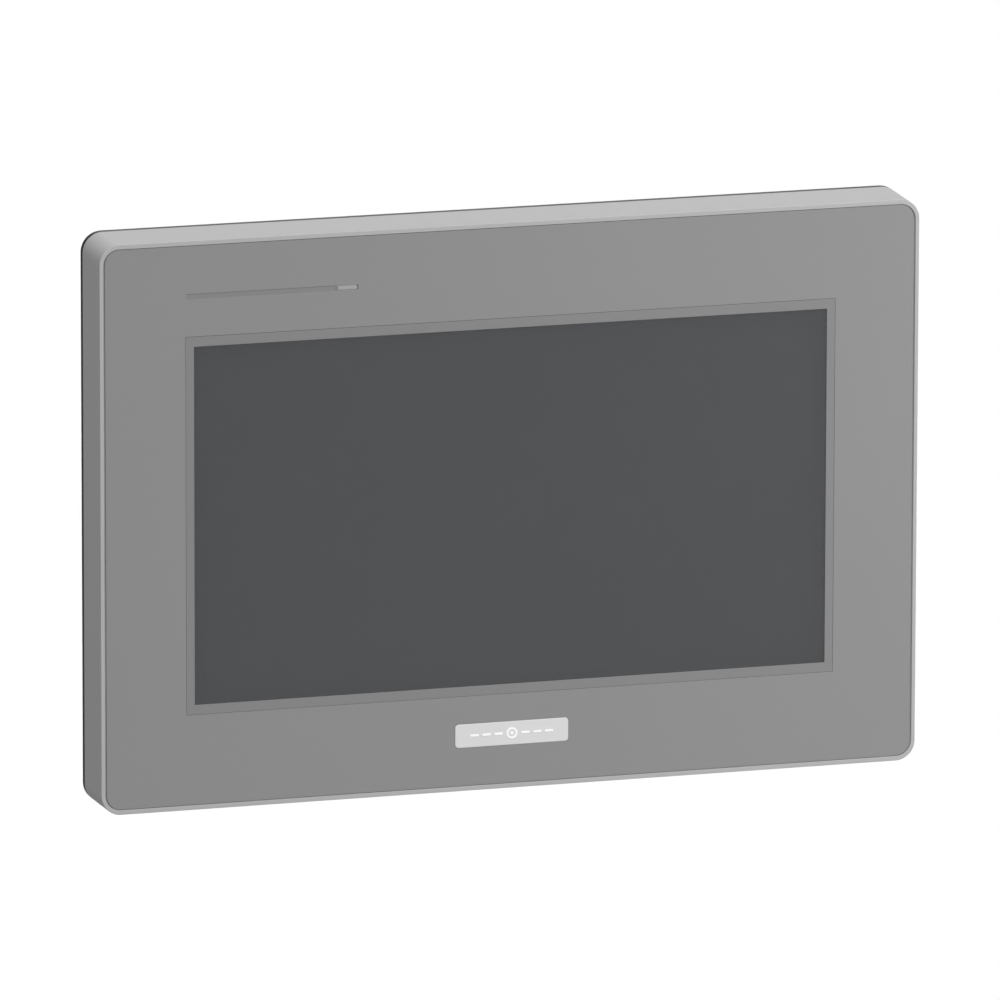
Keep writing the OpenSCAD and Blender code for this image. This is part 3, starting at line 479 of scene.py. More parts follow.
CAD_FINISHES: list[tuple[Finish, float, list[str]]] = [
    (BADGE_WHITE, 0.04, ["badge_motif"]),
    (BOARD_GREEN, 0.0, ["led_board", "main_board"]),
    (CLEAR_GLASS, 0.0, ["touch_glass"]),
    (FOAM, 0.0, ["touch_seal"]),
    (CABLE_FILM, 0.0, ["touch_cable", "lcd_cable"]),
    (CELL_GLASS, 0.0, ["lcd_cell"]),
    (TIN_PLATE, 0.0, ["lcd_frame"]),
    (WHITE_PLASTIC, 0.2, ["backlight_tray"]),
    (ZINC_SHEET, 0.1, ["shield_plate"]),
    (ZINC_SCREW, 0.15, ["shield_screws", "board_screws"]),
    (TURNED_BRASS, 0.2, ["standoffs"]),
    (CHIP_EPOXY, 0.15, ["board_chips"]),
    (EXTRUDED_ALUMINIUM, 0.15, ["heat_sink"]),
    (CASE_PLASTIC, 0.3, ["rear_case"]),
    (GASKET_RUBBER, 0.3, ["panel_gasket"]),
    (ZINC_SCREW, 0.2, ["case_screws", "dsub_lock_nuts"]),
    (INLET_PLASTIC, 0.15, ["power_inlet"]),
    (TIN_PLATE, 0.15, ["power_pins", "dsub_shell"]),
    (TIN_PLATE, 0.2, ["ethernet_jack"]),
    (JACK_PLASTIC, 0.2, ["serial_jack", "battery_holder"]),
    (TIN_PLATE, 0.1, ["usb_a_shell"]),
    (WHITE_PLASTIC, 0.1, ["usb_a_tongue"]),
    (TIN_PLATE, 0.08, ["usb_micro_socket"]),
    (JACK_PLASTIC, 0.1, ["dsub_insert"]),
    (GOLD_PLATE, 0.1, ["dsub_pins"]),
    (COVER_PLASTIC, 0.25, ["service_cover"]),
    (RED_PLASTIC, 0.15, ["dip_switch"]),
    (WHITE_PLASTIC, 0.12, ["dip_slider_1", "dip_slider_2", "dip_slider_3", "dip_slider_4"]),
    (BATTERY_STEEL, 0.25, ["backup_battery"]),
]


# ------------------------------------------------------------------ mesh tools


def box_mm(node: str) -> tuple[Vector, Vector]:
    """Returns the lowest and highest corner of a CAD node, in millimetres."""
    low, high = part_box(node)
    return low / MM, high / MM


@dataclass(frozen=True)
class Outline:
    """Rounded rectangle in the X-Z plane, in millimetres."""

    width: float
    height: float
    radius: float
    centre: Point = (0.0, 0.0)

    def points(self, grow: float = 0.0) -> list[Point]:
        """Points in order round the outline.

        Args:
            grow: Distance by which the outline is moved outward.

        Returns:
            X and Z of each point.
        """
        radius = max(self.radius + grow, 0.01)
        reach_x = self.width / 2 + grow - radius
        reach_z = self.height / 2 + grow - radius
        points = []
        for quarter, (side_x, side_z) in enumerate([(1, 1), (-1, 1), (-1, -1), (1, -1)]):
            for step in range(CORNER_STEPS + 1):
                angle = math.radians(90 * (quarter + step / CORNER_STEPS))
                points.append((self.centre[0] + side_x * reach_x + radius * math.cos(angle),
                               self.centre[1] + side_z * reach_z + radius * math.sin(angle)))
        return points


def piece_from(name: str, bm: bmesh.types.BMesh, finish: Finish,
               sharp_degrees: float = 35.0) -> bpy.types.Object:
    """Turns a bmesh in millimetres into a linked, smooth-shaded object.

    Args:
        name: Name of the piece.
        bm: Mesh to use; it is freed.
        finish: Finish of the whole piece.
        sharp_degrees: Edges that turn more than this stay sharp.

    Returns:
        The new object.
    """
    bmesh.ops.scale(bm, vec=(MM, MM, MM), verts=bm.verts)
    bmesh.ops.recalc_face_normals(bm, faces=bm.faces)
    mesh = bpy.data.meshes.new(name)
    bm.to_mesh(mesh)
    bm.free()
    mesh.shade_smooth()
    mesh.set_sharp_from_angle(angle=math.radians(sharp_degrees))
    mesh.materials.append(finish.material())
    piece = bpy.data.objects.new(name, mesh)
    bpy.context.scene.collection.objects.link(piece)
    return piece


def join_loops(bm: bmesh.types.BMesh, first: list[bmesh.types.BMVert],
               second: list[bmesh.types.BMVert]) -> None:
    """Joins two loops of the same number of points with a band of faces.

    Args:
        bm: Mesh to add to.
        first: One loop.
        second: The other loop.
    """
    for i in range(len(first)):
        j = (i + 1) % len(first)
        bm.faces.new((first[i], first[j], second[j], second[i]))


def fill_loops(bm: bmesh.types.BMesh, loops: list[list[bmesh.types.BMVert]]) -> None:
    """Fills a flat outline, less its holes, with faces.

    Args:
        bm: Mesh to add to.
        loops: The outline and then each hole, all at one depth.
    """
    verts = [vert for loop in loops for vert in loop]
    flat = [[Vector((vert.co.x, vert.co.z, 0)) for vert in loop] for loop in loops]
    for triangle in tessellate_polygon(flat):
        bm.faces.new([verts[i] for i in triangle])


def round_edge(grow: float, face: float, size: float, inward: float, away: float,
               steps: int = 3) -> list[Ring]:
    """Rings of a rounded edge, from its side wall onto its face.

    A narrow ring on each side of the rounding keeps the shading of the wall and face flat.

    Args:
        grow: Growth of the side wall.
        face: Y of the face.
        size: Radius of the edge.
        inward: Sign of the growth from the wall onto the face.
        away: Sign of Y from the face along the wall.
        steps: Facets of the edge.

    Returns:
        Growth and Y of each ring.
    """
    rings = [(grow, face + away * (size + SUPPORT))]
    for step in range(steps + 1):
        angle = math.radians(90 * step / steps)
        rings.append((grow + inward * size * (1 - math.cos(angle)),
                      face + away * size * (1 - math.sin(angle))))
    rings.append((grow + inward * (size + SUPPORT), face))
    return rings


def plate(bm: bmesh.types.BMesh, outer: Outline, holes: list[Outline], front: float,
          back: float, edge: float) -> None:
    """Adds a flat plate with holes, rounded along every front edge.

    Args:
        bm: Mesh to add to.
        outer: Outline of the plate.
        holes: Outlines of its holes.
        front: Y of the face with rounded edges.
        back: Y of the other face.
        edge: Radius of the rounded edges; the support rings beside them keep a fixed width.
    """
    away = 1 if back > front else -1
    faces = []
    for outline, inward in [(outer, -1), *((hole, 1) for hole in holes)]:
        rings = [(0.0, back), *round_edge(0.0, front, edge, inward, away, 2)]
        loops = [[bm.verts.new((x, depth, z)) for x, z in outline.points(grow)]
                 for grow, depth in rings if (depth - back) * away < 0 or depth == back]
        for first, second in zip(loops, loops[1:]):
            join_loops(bm, first, second)
        faces.append(loops)
    fill_loops(bm, [loops[0] for loops in faces])
    fill_loops(bm, [loops[-1] for loops in faces])


def prism(bm: bmesh.types.BMesh, outline: list[Point], front: float, back: float) -> None:
    """Adds a straight prism along Y.

    Args:
        bm: Mesh to add to.
        outline: X and Z of its corners, in order.
        front: Y of one end.
        back: Y of the other end.
    """
    loops = [[bm.verts.new((x, depth, z)) for x, z in outline] for depth in (front, back)]
    join_loops(bm, loops[0], loops[1])
    fill_loops(bm, [loops[0]])
    fill_loops(bm, [loops[1]])


def slab(bm: bmesh.types.BMesh, low: tuple[float, float, float],
         high: tuple[float, float, float], edge: float) -> None:
    """Adds a block with bevelled edges.

    Args:
        bm: Mesh to add to.
        low: Lowest corner.
        high: Highest corner.
        edge: Width of the bevel.
    """
    size = [h - l for l, h in zip(low, high)]
    middle = [(l + h) / 2 for l, h in zip(low, high)]
    made = bmesh.ops.create_cube(bm, size=1.0)["verts"]
    bmesh.ops.scale(bm, vec=size, verts=made)
    bmesh.ops.translate(bm, vec=middle, verts=made)
    if edge > 0:
        edges = list({e for v in made for e in v.link_edges})
        bmesh.ops.bevel(bm, geom=edges, offset=edge, segments=2, profile=0.5,
                        affect="EDGES")


def lathe(bm: bmesh.types.BMesh, profile: list[Point], centre: tuple[float, float],
          steps: int = 40) -> None:
    """Turns a profile round an axis along Y.

    Args:
        bm: Mesh to add to.
        profile: Radius and Y of each point; a radius of 0 closes an end.
        centre: X and Z of the axis.
        steps: Facets round the axis.
    """
    loops = []
    for radius, depth in profile:
        if radius <= 0:
            loops.append([bm.verts.new((centre[0], depth, centre[1]))])
            continue
        loops.append([bm.verts.new((centre[0] + radius * math.cos(math.tau * i / steps), depth,
                                    centre[1] + radius * math.sin(math.tau * i / steps)))
                      for i in range(steps)])
    for first, second in zip(loops, loops[1:]):
        for i in range(steps):
            j = (i + 1) % steps
            corners = [first[i % len(first)], first[j % len(first)],
                       second[j % len(second)], second[i % len(second)]]
            unique = list(dict.fromkeys(corners))
            if len(unique) > 2:
                bm.faces.new(unique)


def crisp_group() -> bpy.types.NodeTree:
    """Returns the node group that shades flat faces flat and round faces smooth."""
    group = bpy.data.node_groups.get("crisp_edges")
    if group is not None:
        return group
    group = bpy.data.node_groups.new("crisp_edges", "GeometryNodeTree")
    group.interface.new_socket("Geometry", in_out="INPUT", socket_type="NodeSocketGeometry")
    group.interface.new_socket("Geometry", in_out="OUTPUT", socket_type="NodeSocketGeometry")
    nodes, links = group.nodes, group.links
    clear = nodes.new("GeometryNodeRemoveAttribute")
    clear.inputs["Name"].default_value = "custom_normal"
    turn = nodes.new("FunctionNodeCompare")
    turn.operation = "GREATER_THAN"
    turn.inputs["B"].default_value = math.radians(CRISP_DEGREES)
    mark = nodes.new("GeometryNodeStoreNamedAttribute")
    mark.data_type = "BOOLEAN"
    mark.domain = "EDGE"
    mark.inputs["Name"].default_value = "sharp_edge"
    smooth = nodes.new("GeometryNodeSetShadeSmooth")
    links.new(nodes.new("NodeGroupInput").outputs["Geometry"], clear.inputs["Geometry"])
    links.new(nodes.new("GeometryNodeInputMeshEdgeAngle").outputs["Unsigned Angle"],
              turn.inputs["A"])
    links.new(clear.outputs["Geometry"], mark.inputs["Geometry"])
    links.new(turn.outputs["Result"], mark.inputs["Value"])
    links.new(mark.outputs["Geometry"], smooth.inputs["Geometry"])
    links.new(smooth.outputs["Geometry"], nodes.new("NodeGroupOutput").inputs["Geometry"])
    return group


def soften(piece: bpy.types.Object, edge: float, angle_degrees: float = 30.0) -> None:
    """Rounds a piece's sharp edges with modifiers.

    Args:
        piece: Mesh object.
        edge: Width of the rounding in millimetres.
        angle_degrees: Edges that turn more than this are rounded.
    """
    bevel = piece.modifiers.new("edges", "BEVEL")
    bevel.width = edge * MM
    bevel.segments = 2
    bevel.limit_method = "ANGLE"
    bevel.angle_limit = math.radians(angle_degrees)
    bevel.use_clamp_overlap = True
    piece.modifiers.new("shading", "NODES").node_group = crisp_group()
    weights = piece.modifiers.new("weights", "WEIGHTED_NORMAL")
    weights.weight = 100
    weights.keep_sharp = True


def mount(piece: bpy.types.Object, body: str, slot: Slot, *nodes: str) -> bpy.types.Object:
    """Lets a piece ride on its body and stand for CAD nodes.

    Args:
        piece: The new piece.
        body: Name of the CAD body it moves with.
        slot: Record slot of its finish; not used.
        *nodes: CAD nodes that it replaces.

    Returns:
        The piece.
    """
    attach(piece, body)
    if nodes:
        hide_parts(*nodes)
    log.info("piece %s rides on %s", piece.name, body)
    return piece


def carve(piece: bpy.types.Object, tool: bpy.types.Object) -> None:
    """Cuts a tool's shape out of a piece and removes the tool.

    Args:
        piece: Mesh object to cut.
        tool: Closed mesh object to cut with.
    """
    cut = piece.modifiers.new("cut", "BOOLEAN")
    cut.operation = "DIFFERENCE"
    cut.solver = "EXACT"
    cut.object = tool
    graph = bpy.context.evaluated_depsgraph_get()
    carved = bpy.data.meshes.new_from_object(piece.evaluated_get(graph))
    piece.modifiers.remove(cut)
    piece.data = carved
    bpy.data.objects.remove(tool)


# ------------------------------------------------------------------ sub-assemblies


@dataclass
class FrontFrame:
    """Cast front frame: leaning sides, a light rim, the sheet's recess and the glass pocket."""

    lean_x: float = 0.15
    lean_z: float = 0.35
    corner: float = 4.7
    rim_x: float = 0.9
    rim_z: float = 1.09
    rim_edge: float = 0.14
    lip_edge: float = 0.08
    back_edge: float = 0.15
    recess: float = 0.5
    wall: float = 2.5
    face: float = 2.2
    pocket: Outline = Outline(163.6, 95.6, 0.5)
    pocket_depth: float = 2.3
    ledge: Outline = Outline(157.5, 88.5, 0.3)
    ledge_depth: float = 1.4
    pocket_rim: float = 2.2

    def build(self) -> None:
        """Makes the frame as one skin and stands it in for its CAD node."""
        low, high = box_mm("bezel")
        front, back = low.y, high.y
        floor = front + self.recess
        seat = floor + self.pocket_depth
        under = seat + self.ledge_depth
        rear = Outline(high.x - low.x, high.z - low.z, self.corner + self.lean_x)
        outer = Outline(rear.width - 2 * self.lean_x, rear.height - 2 * self.lean_z, self.corner)
        recess = Outline(outer.width - 2 * self.rim_x, outer.height - 2 * self.rim_z,
                         self.corner - self.rim_x)
        outside = [(rear, ring) for ring in
                   reversed(round_edge(0.0, back, self.back_edge, -1, -1))]
        outside += [(outer, ring) for ring in round_edge(0.0, front, self.rim_edge, -1, 1)]
        lip = [(recess, ring) for ring in
               reversed(round_edge(0.0, front, self.lip_edge, 1, 1))]
        outline_rings = outside + lip + [
            (recess, (0.0, floor)), (self.pocket, (0.0, floor)), (self.pocket, (0.0, seat)),
            (self.ledge, (0.0, seat)), (self.ledge, (0.0, under)),
            (self.pocket, (self.pocket_rim, under)),
            (self.pocket, (self.pocket_rim, floor + self.face)),
            (rear, (-self.wall, floor + self.face)), (rear, (-self.wall, back))]
        bm = bmesh.new()
        loops = [[bm.verts.new((x, depth, z)) for x, z in outline.points(grow)]
                 for outline, (grow, depth) in outline_rings]
        for first, second in zip(loops, loops[1:] + loops[:1]):
            join_loops(bm, first, second)
        mount(piece_from("front_frame", bm, FRAME_PAINT), "root", Slot.FRAME, "bezel")


@dataclass
class FrontSheet:
    """Grey front sheet with its window, engraved status line and badge pocket."""

    corner: float = 3.4
    short: float = 0.2
    window_gap: float = 0.05
    window_corner: float = 0.15
    line_start: float = -78.8
    line_height: float = 1.25
    line_depth: float = 0.12
    slot_corner: float = 0.12
    strip_overlap: float = 0.2
    line_end_gap: float = 0.3
    lamp_gap: float = 0.02
    lamp_web: float = 0.36
    pocket_gap: float = 0.05
    badge_corner: float = 0.9
    edge: float = 0.04

    def build(self) -> None:
        """Makes the sheet and stands it in for its CAD node."""
        low, high = box_mm("front_overlay")
        film_low, film_high = box_mm("touch_film")
        badge_low, badge_high = box_mm("badge_plate")
        lamp = StatusLight().outline()
        lamp_left = lamp.centre[0] - lamp.width / 2 - self.lamp_gap
        lamp_right = lamp.centre[0] + lamp.width / 2 + self.line_end_gap
        line_end = lamp_left - self.lamp_web
        window = Outline(film_high.x - film_low.x + 2 * self.window_gap,
                         film_high.z - film_low.z + 2 * self.window_gap, self.window_corner)
        slot = Outline(line_end - self.line_start, self.line_height, self.slot_corner,
                       ((line_end + self.line_start) / 2, lamp.centre[1]))
        lamp_hole = Outline(lamp_right - lamp_left, lamp.height + 2 * self.lamp_gap,
                            self.slot_corner, ((lamp_left + lamp_right) / 2, lamp.centre[1]))
        pocket = Outline(badge_high.x - badge_low.x + 2 * self.pocket_gap,
                         badge_high.z - badge_low.z + 2 * self.pocket_gap,
                         self.badge_corner, (0.0, (badge_high.z + badge_low.z) / 2))
        holes = [window, slot, lamp_hole, pocket]
        bm = bmesh.new()
        plate(bm, Outline(high.x - low.x, high.z - low.z - self.short, self.corner), holes,
              low.y, high.y, self.edge)
        mount(piece_from("front_sheet", bm, SHEET_FILM), "root", Slot.SHEET, "front_overlay")
        floor = Outline(slot.width + self.strip_overlap, slot.height + self.strip_overlap,
                        self.slot_corner,
                        (slot.centre[0] - self.strip_overlap / 2, slot.centre[1]))
        strip = bmesh.new()
        plate(strip, floor, [], low.y + self.line_depth, high.y, HAIR)
        mount(piece_from("status_line", strip, LINE_INK), "root", Slot.SHEET)


@dataclass
class Badge:
    """Small plate below the screen with a softly rounded rim."""

    corner: float = 0.85
    edge: float = 0.09

    def build(self) -> None:
        """Makes the plate and stands it in for its CAD node."""
        low, high = box_mm("badge_plate")
        outline = Outline(high.x - low.x, high.z - low.z, self.corner,
                          (0.0, (low.z + high.z) / 2))
        bm = bmesh.new()
        plate(bm, outline, [], low.y, high.y, self.edge)
        mount(piece_from("badge_shell", bm, BADGE_SILVER), "root", Slot.BADGE, "badge_plate")


@dataclass
class StatusLight:
    """Light pipe at the end of the status line, with its base behind the frame."""

    flange: float = 1.0
    flange_corner: float = 0.5
    corner: float = 0.3
    edge: float = 0.1
    base: float = 0.8
    sunk: float = 0.03

    def outline(self) -> Outline:
        """Returns the outline of the pipe's visible end."""
        low, high = box_mm("led_window")
        return Outline(high.x - low.x - 2 * self.flange, high.z - low.z - 2 * self.flange,
                       self.corner, ((low.x + high.x) / 2, (low.z + high.z) / 2))

    def build(self) -> None:
        """Makes the light pipe and stands it in for its CAD node."""
        low, high = box_mm("led_window")
        bm = bmesh.new()
        plate(bm, self.outline(), [], low.y + self.sunk, high.y - self.base, self.edge)
        flange = self.outline()
        plate(bm, Outline(flange.width + 2 * self.flange, flange.height + 2 * self.flange,
                          self.flange_corner, flange.centre), [], high.y - self.base, high.y,
              self.edge / 2)
        mount(piece_from("status_light", bm, LIGHT_PIPE), "root", Slot.LIGHT, "led_window")


@dataclass
class DisplayWindow:
    """Flush clear film of the touch panel with its printed grey border."""

    view: Outline = Outline(154.05, 85.1, 0.05)
    corner: float = 0.12
    ink_depth: float = 0.01
    ink: float = 0.05
    edge: float = 0.03

    def build(self) -> None:
        """Makes the film and its border, which stand in for the CAD film."""
        low, high = box_mm("touch_film")
        film = Outline(high.x - low.x, high.z - low.z, self.corner)
        bm = bmesh.new()
        plate(bm, film, [], low.y, high.y, self.edge)
        mount(piece_from("window_film", bm, WINDOW_FILM), "root", Slot.WINDOW, "touch_film")
        front = low.y - self.ink_depth
        border = bmesh.new()
        plate(border, Outline(film.width - HAIR, film.height - HAIR, self.corner - HAIR),
              [self.view], front, front + self.ink, self.ink_depth)
        mount(piece_from("window_border", border, BORDER_INK), "root", Slot.SHEET)


@dataclass
class ThreadedScrew:
    """Clip screw: pan head with a cross recess and a rolled thread on its shank."""

    radius: float = 2.0
    pitch: float = 0.7
    thread_depth: float = 0.4
    head_height: float = 2.4
    head_dome: float = 0.9
    recess_width: float = 0.9
    recess_depth: float = 1.5
    crown: float = 0.55
    skirt: float = 0.3
    rim_edge: float = 0.15
    recess_reach: float = 0.62
    recess_taper: float = 0.45
    head_bite: float = 0.05
    sharp_degrees: float = 40.0
    facets: int = 48
    dome_steps: int = 8
    thread_facets: int = 24
    rows_per_turn: int = 8

    def build(self, corner: Corner) -> None:
        """Makes one screw and stands it in for its CAD node.

        Args:
            corner: Which clip it belongs to.
        """
        node = f"clip_screw_{corner.value}"
        low, high = box_mm(node)
        centre = ((low.x + high.x) / 2, (low.z + high.z) / 2)
        head_radius = (high.x - low.x) / 2
        seat = high.y - self.head_height
        name = f"clip_bolt_{corner.value}"
        bm = bmesh.new()
        lathe(bm, self.head_profile(head_radius, seat, high.y), centre, self.facets)
        head = piece_from(name, bm, ZINC_SCREW, self.sharp_degrees)
        carve(head, self.recess_tool(centre, high.y, head_radius))
        thread = bmesh.new()
        self.thread(thread, centre, low.y, seat + self.head_bite)
        thread.from_mesh(self.in_millimetres(head.data))
        bpy.data.objects.remove(head)
        screw = piece_from(name, thread, ZINC_SCREW, self.sharp_degrees)
        mount(screw, node, Slot.SCREW, node)

    def in_millimetres(self, mesh: bpy.types.Mesh) -> bpy.types.Mesh:
        """Returns the mesh scaled from metres to millimetres."""
        mesh.transform(Matrix.Scale(1 / MM, 4))
        return mesh

    def head_profile(self, radius: float, seat: float, top: float) -> list[Point]:
        """Section of the pan head.

        Args:
            radius: Head radius.
            seat: Y of its underside.
            top: Y of its highest point.

        Returns:
            Radius and Y of each point.
        """
        dome = self.head_dome + self.skirt
        points = [(0.0, seat), (radius - self.rim_edge, seat), (radius, seat + self.rim_edge),
                  (radius, top - dome)]
        for step in range(1, self.dome_steps + 1):
            angle = math.radians(90 * step / self.dome_steps)
            points.append((radius * (self.crown + (1 - self.crown) * math.cos(angle)),
                           top - dome + dome * math.sin(angle)))
        return points + [(0.0, top)]

    def recess_tool(self, centre: Point, top: float, radius: float) -> bpy.types.Object:
        """Makes the cross-shaped cutter.

        Args:
            centre: X and Z of the screw's axis.
            top: Y of the head's top.
            radius: Head radius.

        Returns:
            The cutter object.
        """
        reach, half = radius * self.recess_reach, self.recess_width / 2
        outline = []
        for quarter in range(4):
            turn = Matrix.Rotation(math.radians(90 * quarter), 2)
            for x, z in ((reach, -half), (reach, half), (half, half)):
                spot = turn @ Vector((x, z))
                outline.append((centre[0] + spot.x, centre[1] + spot.y))
        bm = bmesh.new()
        prism(bm, outline, top - self.recess_depth, top + 1)
        bottom = [v for v in bm.verts if v.co.y < top]
        for vert in bottom:
            vert.co.x = centre[0] + (vert.co.x - centre[0]) * self.recess_taper
            vert.co.z = centre[1] + (vert.co.z - centre[1]) * self.recess_taper
        return piece_from("cross_tool", bm, ZINC_SCREW)

    def thread(self, bm: bmesh.types.BMesh, centre: Point, tip: float, seat: float) -> None:
        """Adds the shank with its helical thread.

        Args:
            bm: Mesh to add to.
            centre: X and Z of the axis.
            tip: Y of the tip.
            seat: Y of the end under the head.
        """
        rows = int((seat - tip) / self.pitch * self.rows_per_turn)
        loops = []
        for row in range(rows + 1):
            depth = tip + (seat - tip) * row / rows
            ends = min(1.0, (depth - tip) / self.pitch)
            loop = []
            for i in range(self.thread_facets):
                share = (depth / self.pitch - i / self.thread_facets) % 1.0
                groove = self.thread_depth * abs(2 * share - 1)
                reach = self.radius - groove * ends - (1 - ends) * self.thread_depth
                angle = math.tau * i / self.thread_facets
                loop.append(bm.verts.new((centre[0] + reach * math.cos(angle), depth,
                                          centre[1] + reach * math.sin(angle))))
            loops.append(loop)
        for first, second in zip(loops, loops[1:]):
            join_loops(bm, first, second)
        bm.faces.new(loops[0])
        bm.faces.new(reversed(loops[-1]))


@dataclass
class PanelClips:
    """The four swing-out clips: their screws are rebuilt, their nuts and arms dressed."""

    screw: ThreadedScrew = field(default_factory=ThreadedScrew)
    arm_edge: float = 0.5
    nut_edge: float = 0.15

    def build(self) -> None:
        """Makes and dresses all four clips."""
        for corner in Corner:
            self.screw.build(corner)
            dress(f"clip_nut_{corner.value}", TURNED_BRASS, self.nut_edge)
            dress(f"clip_arm_{corner.value}", ZINC_CAST, self.arm_edge)


@dataclass
class JackContacts:
    """Spring contacts of a modular jack and, on request, its two signal lights."""

    count: int = 8
    pitch: float = 1.02
    wire: float = 0.4
    length: float = 9.0
    drop: float = 2.6
    root_height: float = 1.8
    mouth_depth: float = 1.2
    bend: float = 1.0
    kick: float = 0.15
    tip_drop: float = 0.4
    light: tuple[float, float] = (3.0, 2.2)
    light_offset: float = 5.6
    light_below_top: float = 2.9
    light_proud: float = 0.12
    light_root: float = 1.0

    def build(self, node: str, with_lights: bool) -> None:
        """Makes the contacts of one jack.

        Args:
            node: CAD node of the jack.
            with_lights: True adds the two signal lights beside the latch notch.
        """
        low, high = box_mm(node)
        middle = (low.x + high.x) / 2
        root_y = low.y + self.root_height
        bm = bmesh.new()
        for i in range(self.count):
            x = middle + (i - (self.count - 1) / 2) * self.pitch
            self.spring(bm, x, root_y, low.z + self.mouth_depth)
        mount(piece_from(f"{node}_contacts", bm, GOLD_PLATE), "root", Slot.BRASS)
        if with_lights:
            lights = bmesh.new()
            width, height = self.light
            bottom = high.y - self.light_below_top
            for side in (-1, 1):
                x = middle + side * self.light_offset
                slab(lights, (x - width / 2, bottom, low.z - self.light_proud),
                     (x + width / 2, bottom + height, low.z + self.light_root), self.light_proud)
            mount(piece_from(f"{node}_lights", lights, LIGHT_PIPE), "root", Slot.LIGHT)

    def spring(self, bm: bmesh.types.BMesh, x: float, root_y: float, mouth_z: float) -> None:
        """Adds one slanting contact wire.

        Args:
            bm: Mesh to add to.
            x: Place of the wire across the jack.
            root_y: Y of the wire near the board.
            mouth_z: Z of the wire's end at the mouth.
        """
        half = self.wire / 2
        path = [(root_y, mouth_z), (root_y + self.kick, mouth_z + self.bend),
                (root_y + self.drop, mouth_z + self.length - self.bend),
                (root_y + self.drop - self.tip_drop, mouth_z + self.length)]
        loops = []
        for y, z in path:
            loops.append([bm.verts.new((x + sx * half, y + sy * half, z))
                          for sx, sy in ((-1, -1), (1, -1), (1, 1), (-1, 1))])
        for first, second in zip(loops, loops[1:]):
            join_loops(bm, first, second)
        bm.faces.new(loops[0])
        bm.faces.new(reversed(loops[-1]))


@dataclass
class PlugContacts:
    """Four flat contacts on the tongue of the USB socket."""

    places: tuple[float, ...] = (-3.5, -1.0, 1.0, 3.5)
    width: float = 1.0
    thick: float = 0.08
    from_tip: float = 0.6
    from_root: float = 2.4

    def build(self) -> None:
        """Makes the contacts on the open side of the tongue."""
        low, high = box_mm("usb_a_tongue")
        middle = (low.x + high.x) / 2
        bm = bmesh.new()
        for place in self.places:
            slab(bm, (middle + place - self.width / 2, high.y - self.thick / 2,
                      low.z + self.from_tip),
                 (middle + place + self.width / 2, high.y + self.thick / 2,
                  high.z - self.from_root), HAIR)
        mount(piece_from("usb_a_contacts", bm, GOLD_PLATE), "root", Slot.BRASS)


@dataclass
class RatingLabel:
    """Blank silver label with plain table rules and empty fields; it carries no words."""

    corner: float = 2.0
    edge: float = 0.05
    table_corner: float = 0.8
    rule: float = 0.25
    ink: float = 0.02
    ink_edge: float = 0.003
    rows: int = 4
    margin: float = 3.0
    column: float = -0.12

    def build(self) -> None:
        """Makes the label film and its rules."""
        low, high = box_mm("rating_label")
        centre = ((low.x + high.x) / 2, (low.z + high.z) / 2)
        film = Outline(high.x - low.x, high.z - low.z, self.corner, centre)
        bm = bmesh.new()
        plate(bm, film, [], high.y - self.ink, low.y, self.edge)
        mount(piece_from("label_film_piece", bm, LABEL_FILM), "root", Slot.LABEL, "rating_label")
        rules = bmesh.new()
        table = Outline(film.width - 2 * self.margin, film.height - 2 * self.margin,
                        self.table_corner, centre)
        self.draw_rules(rules, table, high.y)
        mount(piece_from("label_rules", rules, LABEL_INK), "root", Slot.CHIP)

    def draw_rules(self, bm: bmesh.types.BMesh, table: Outline, face: float) -> None:
        """Adds the frame, the row rules and a column rule.

        Args:
            bm: Mesh to add to.
            table: Outline of the table.
            face: Y of the inked face.
        """
        back = face - 1.5 * self.ink
        hole = Outline(table.width - 2 * self.rule, table.height - 2 * self.rule,
                       table.radius - self.rule, table.centre)
        plate(bm, table, [hole], face, back, self.ink_edge)
        bottom = table.centre[1] - table.height / 2
        for row in range(1, self.rows):
            z = bottom + table.height * row / self.rows
            plate(bm, Outline(hole.width, self.rule, HAIR / 2, (table.centre[0], z)), [], face,
                  back, self.ink_edge)
        column = table.centre[0] + table.width * self.column
        plate(bm, Outline(self.rule, hole.height, HAIR / 2, (column, table.centre[1])), [],
              face, back, self.ink_edge)


def dress(node: str, finish: Finish, edge: float) -> None:
    """Gives a CAD node its finish and, where asked, rounded edges.

    Args:
        node: Name of the CAD node.
        finish: Its finish.
        edge: Width of the edge rounding in millimetres; 0 leaves it.
    """
    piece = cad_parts[node]
    piece.data.materials.clear()
    piece.data.materials.append(finish.material())
    if edge > 0:
        weld = piece.modifiers.new("weld", "WELD")
        weld.merge_threshold = WELD_REACH * MM
        soften(piece, edge, 40)
    log.info("CAD node %s dressed with %s", node, finish.name)


# ------------------------------------------------------------------ studio


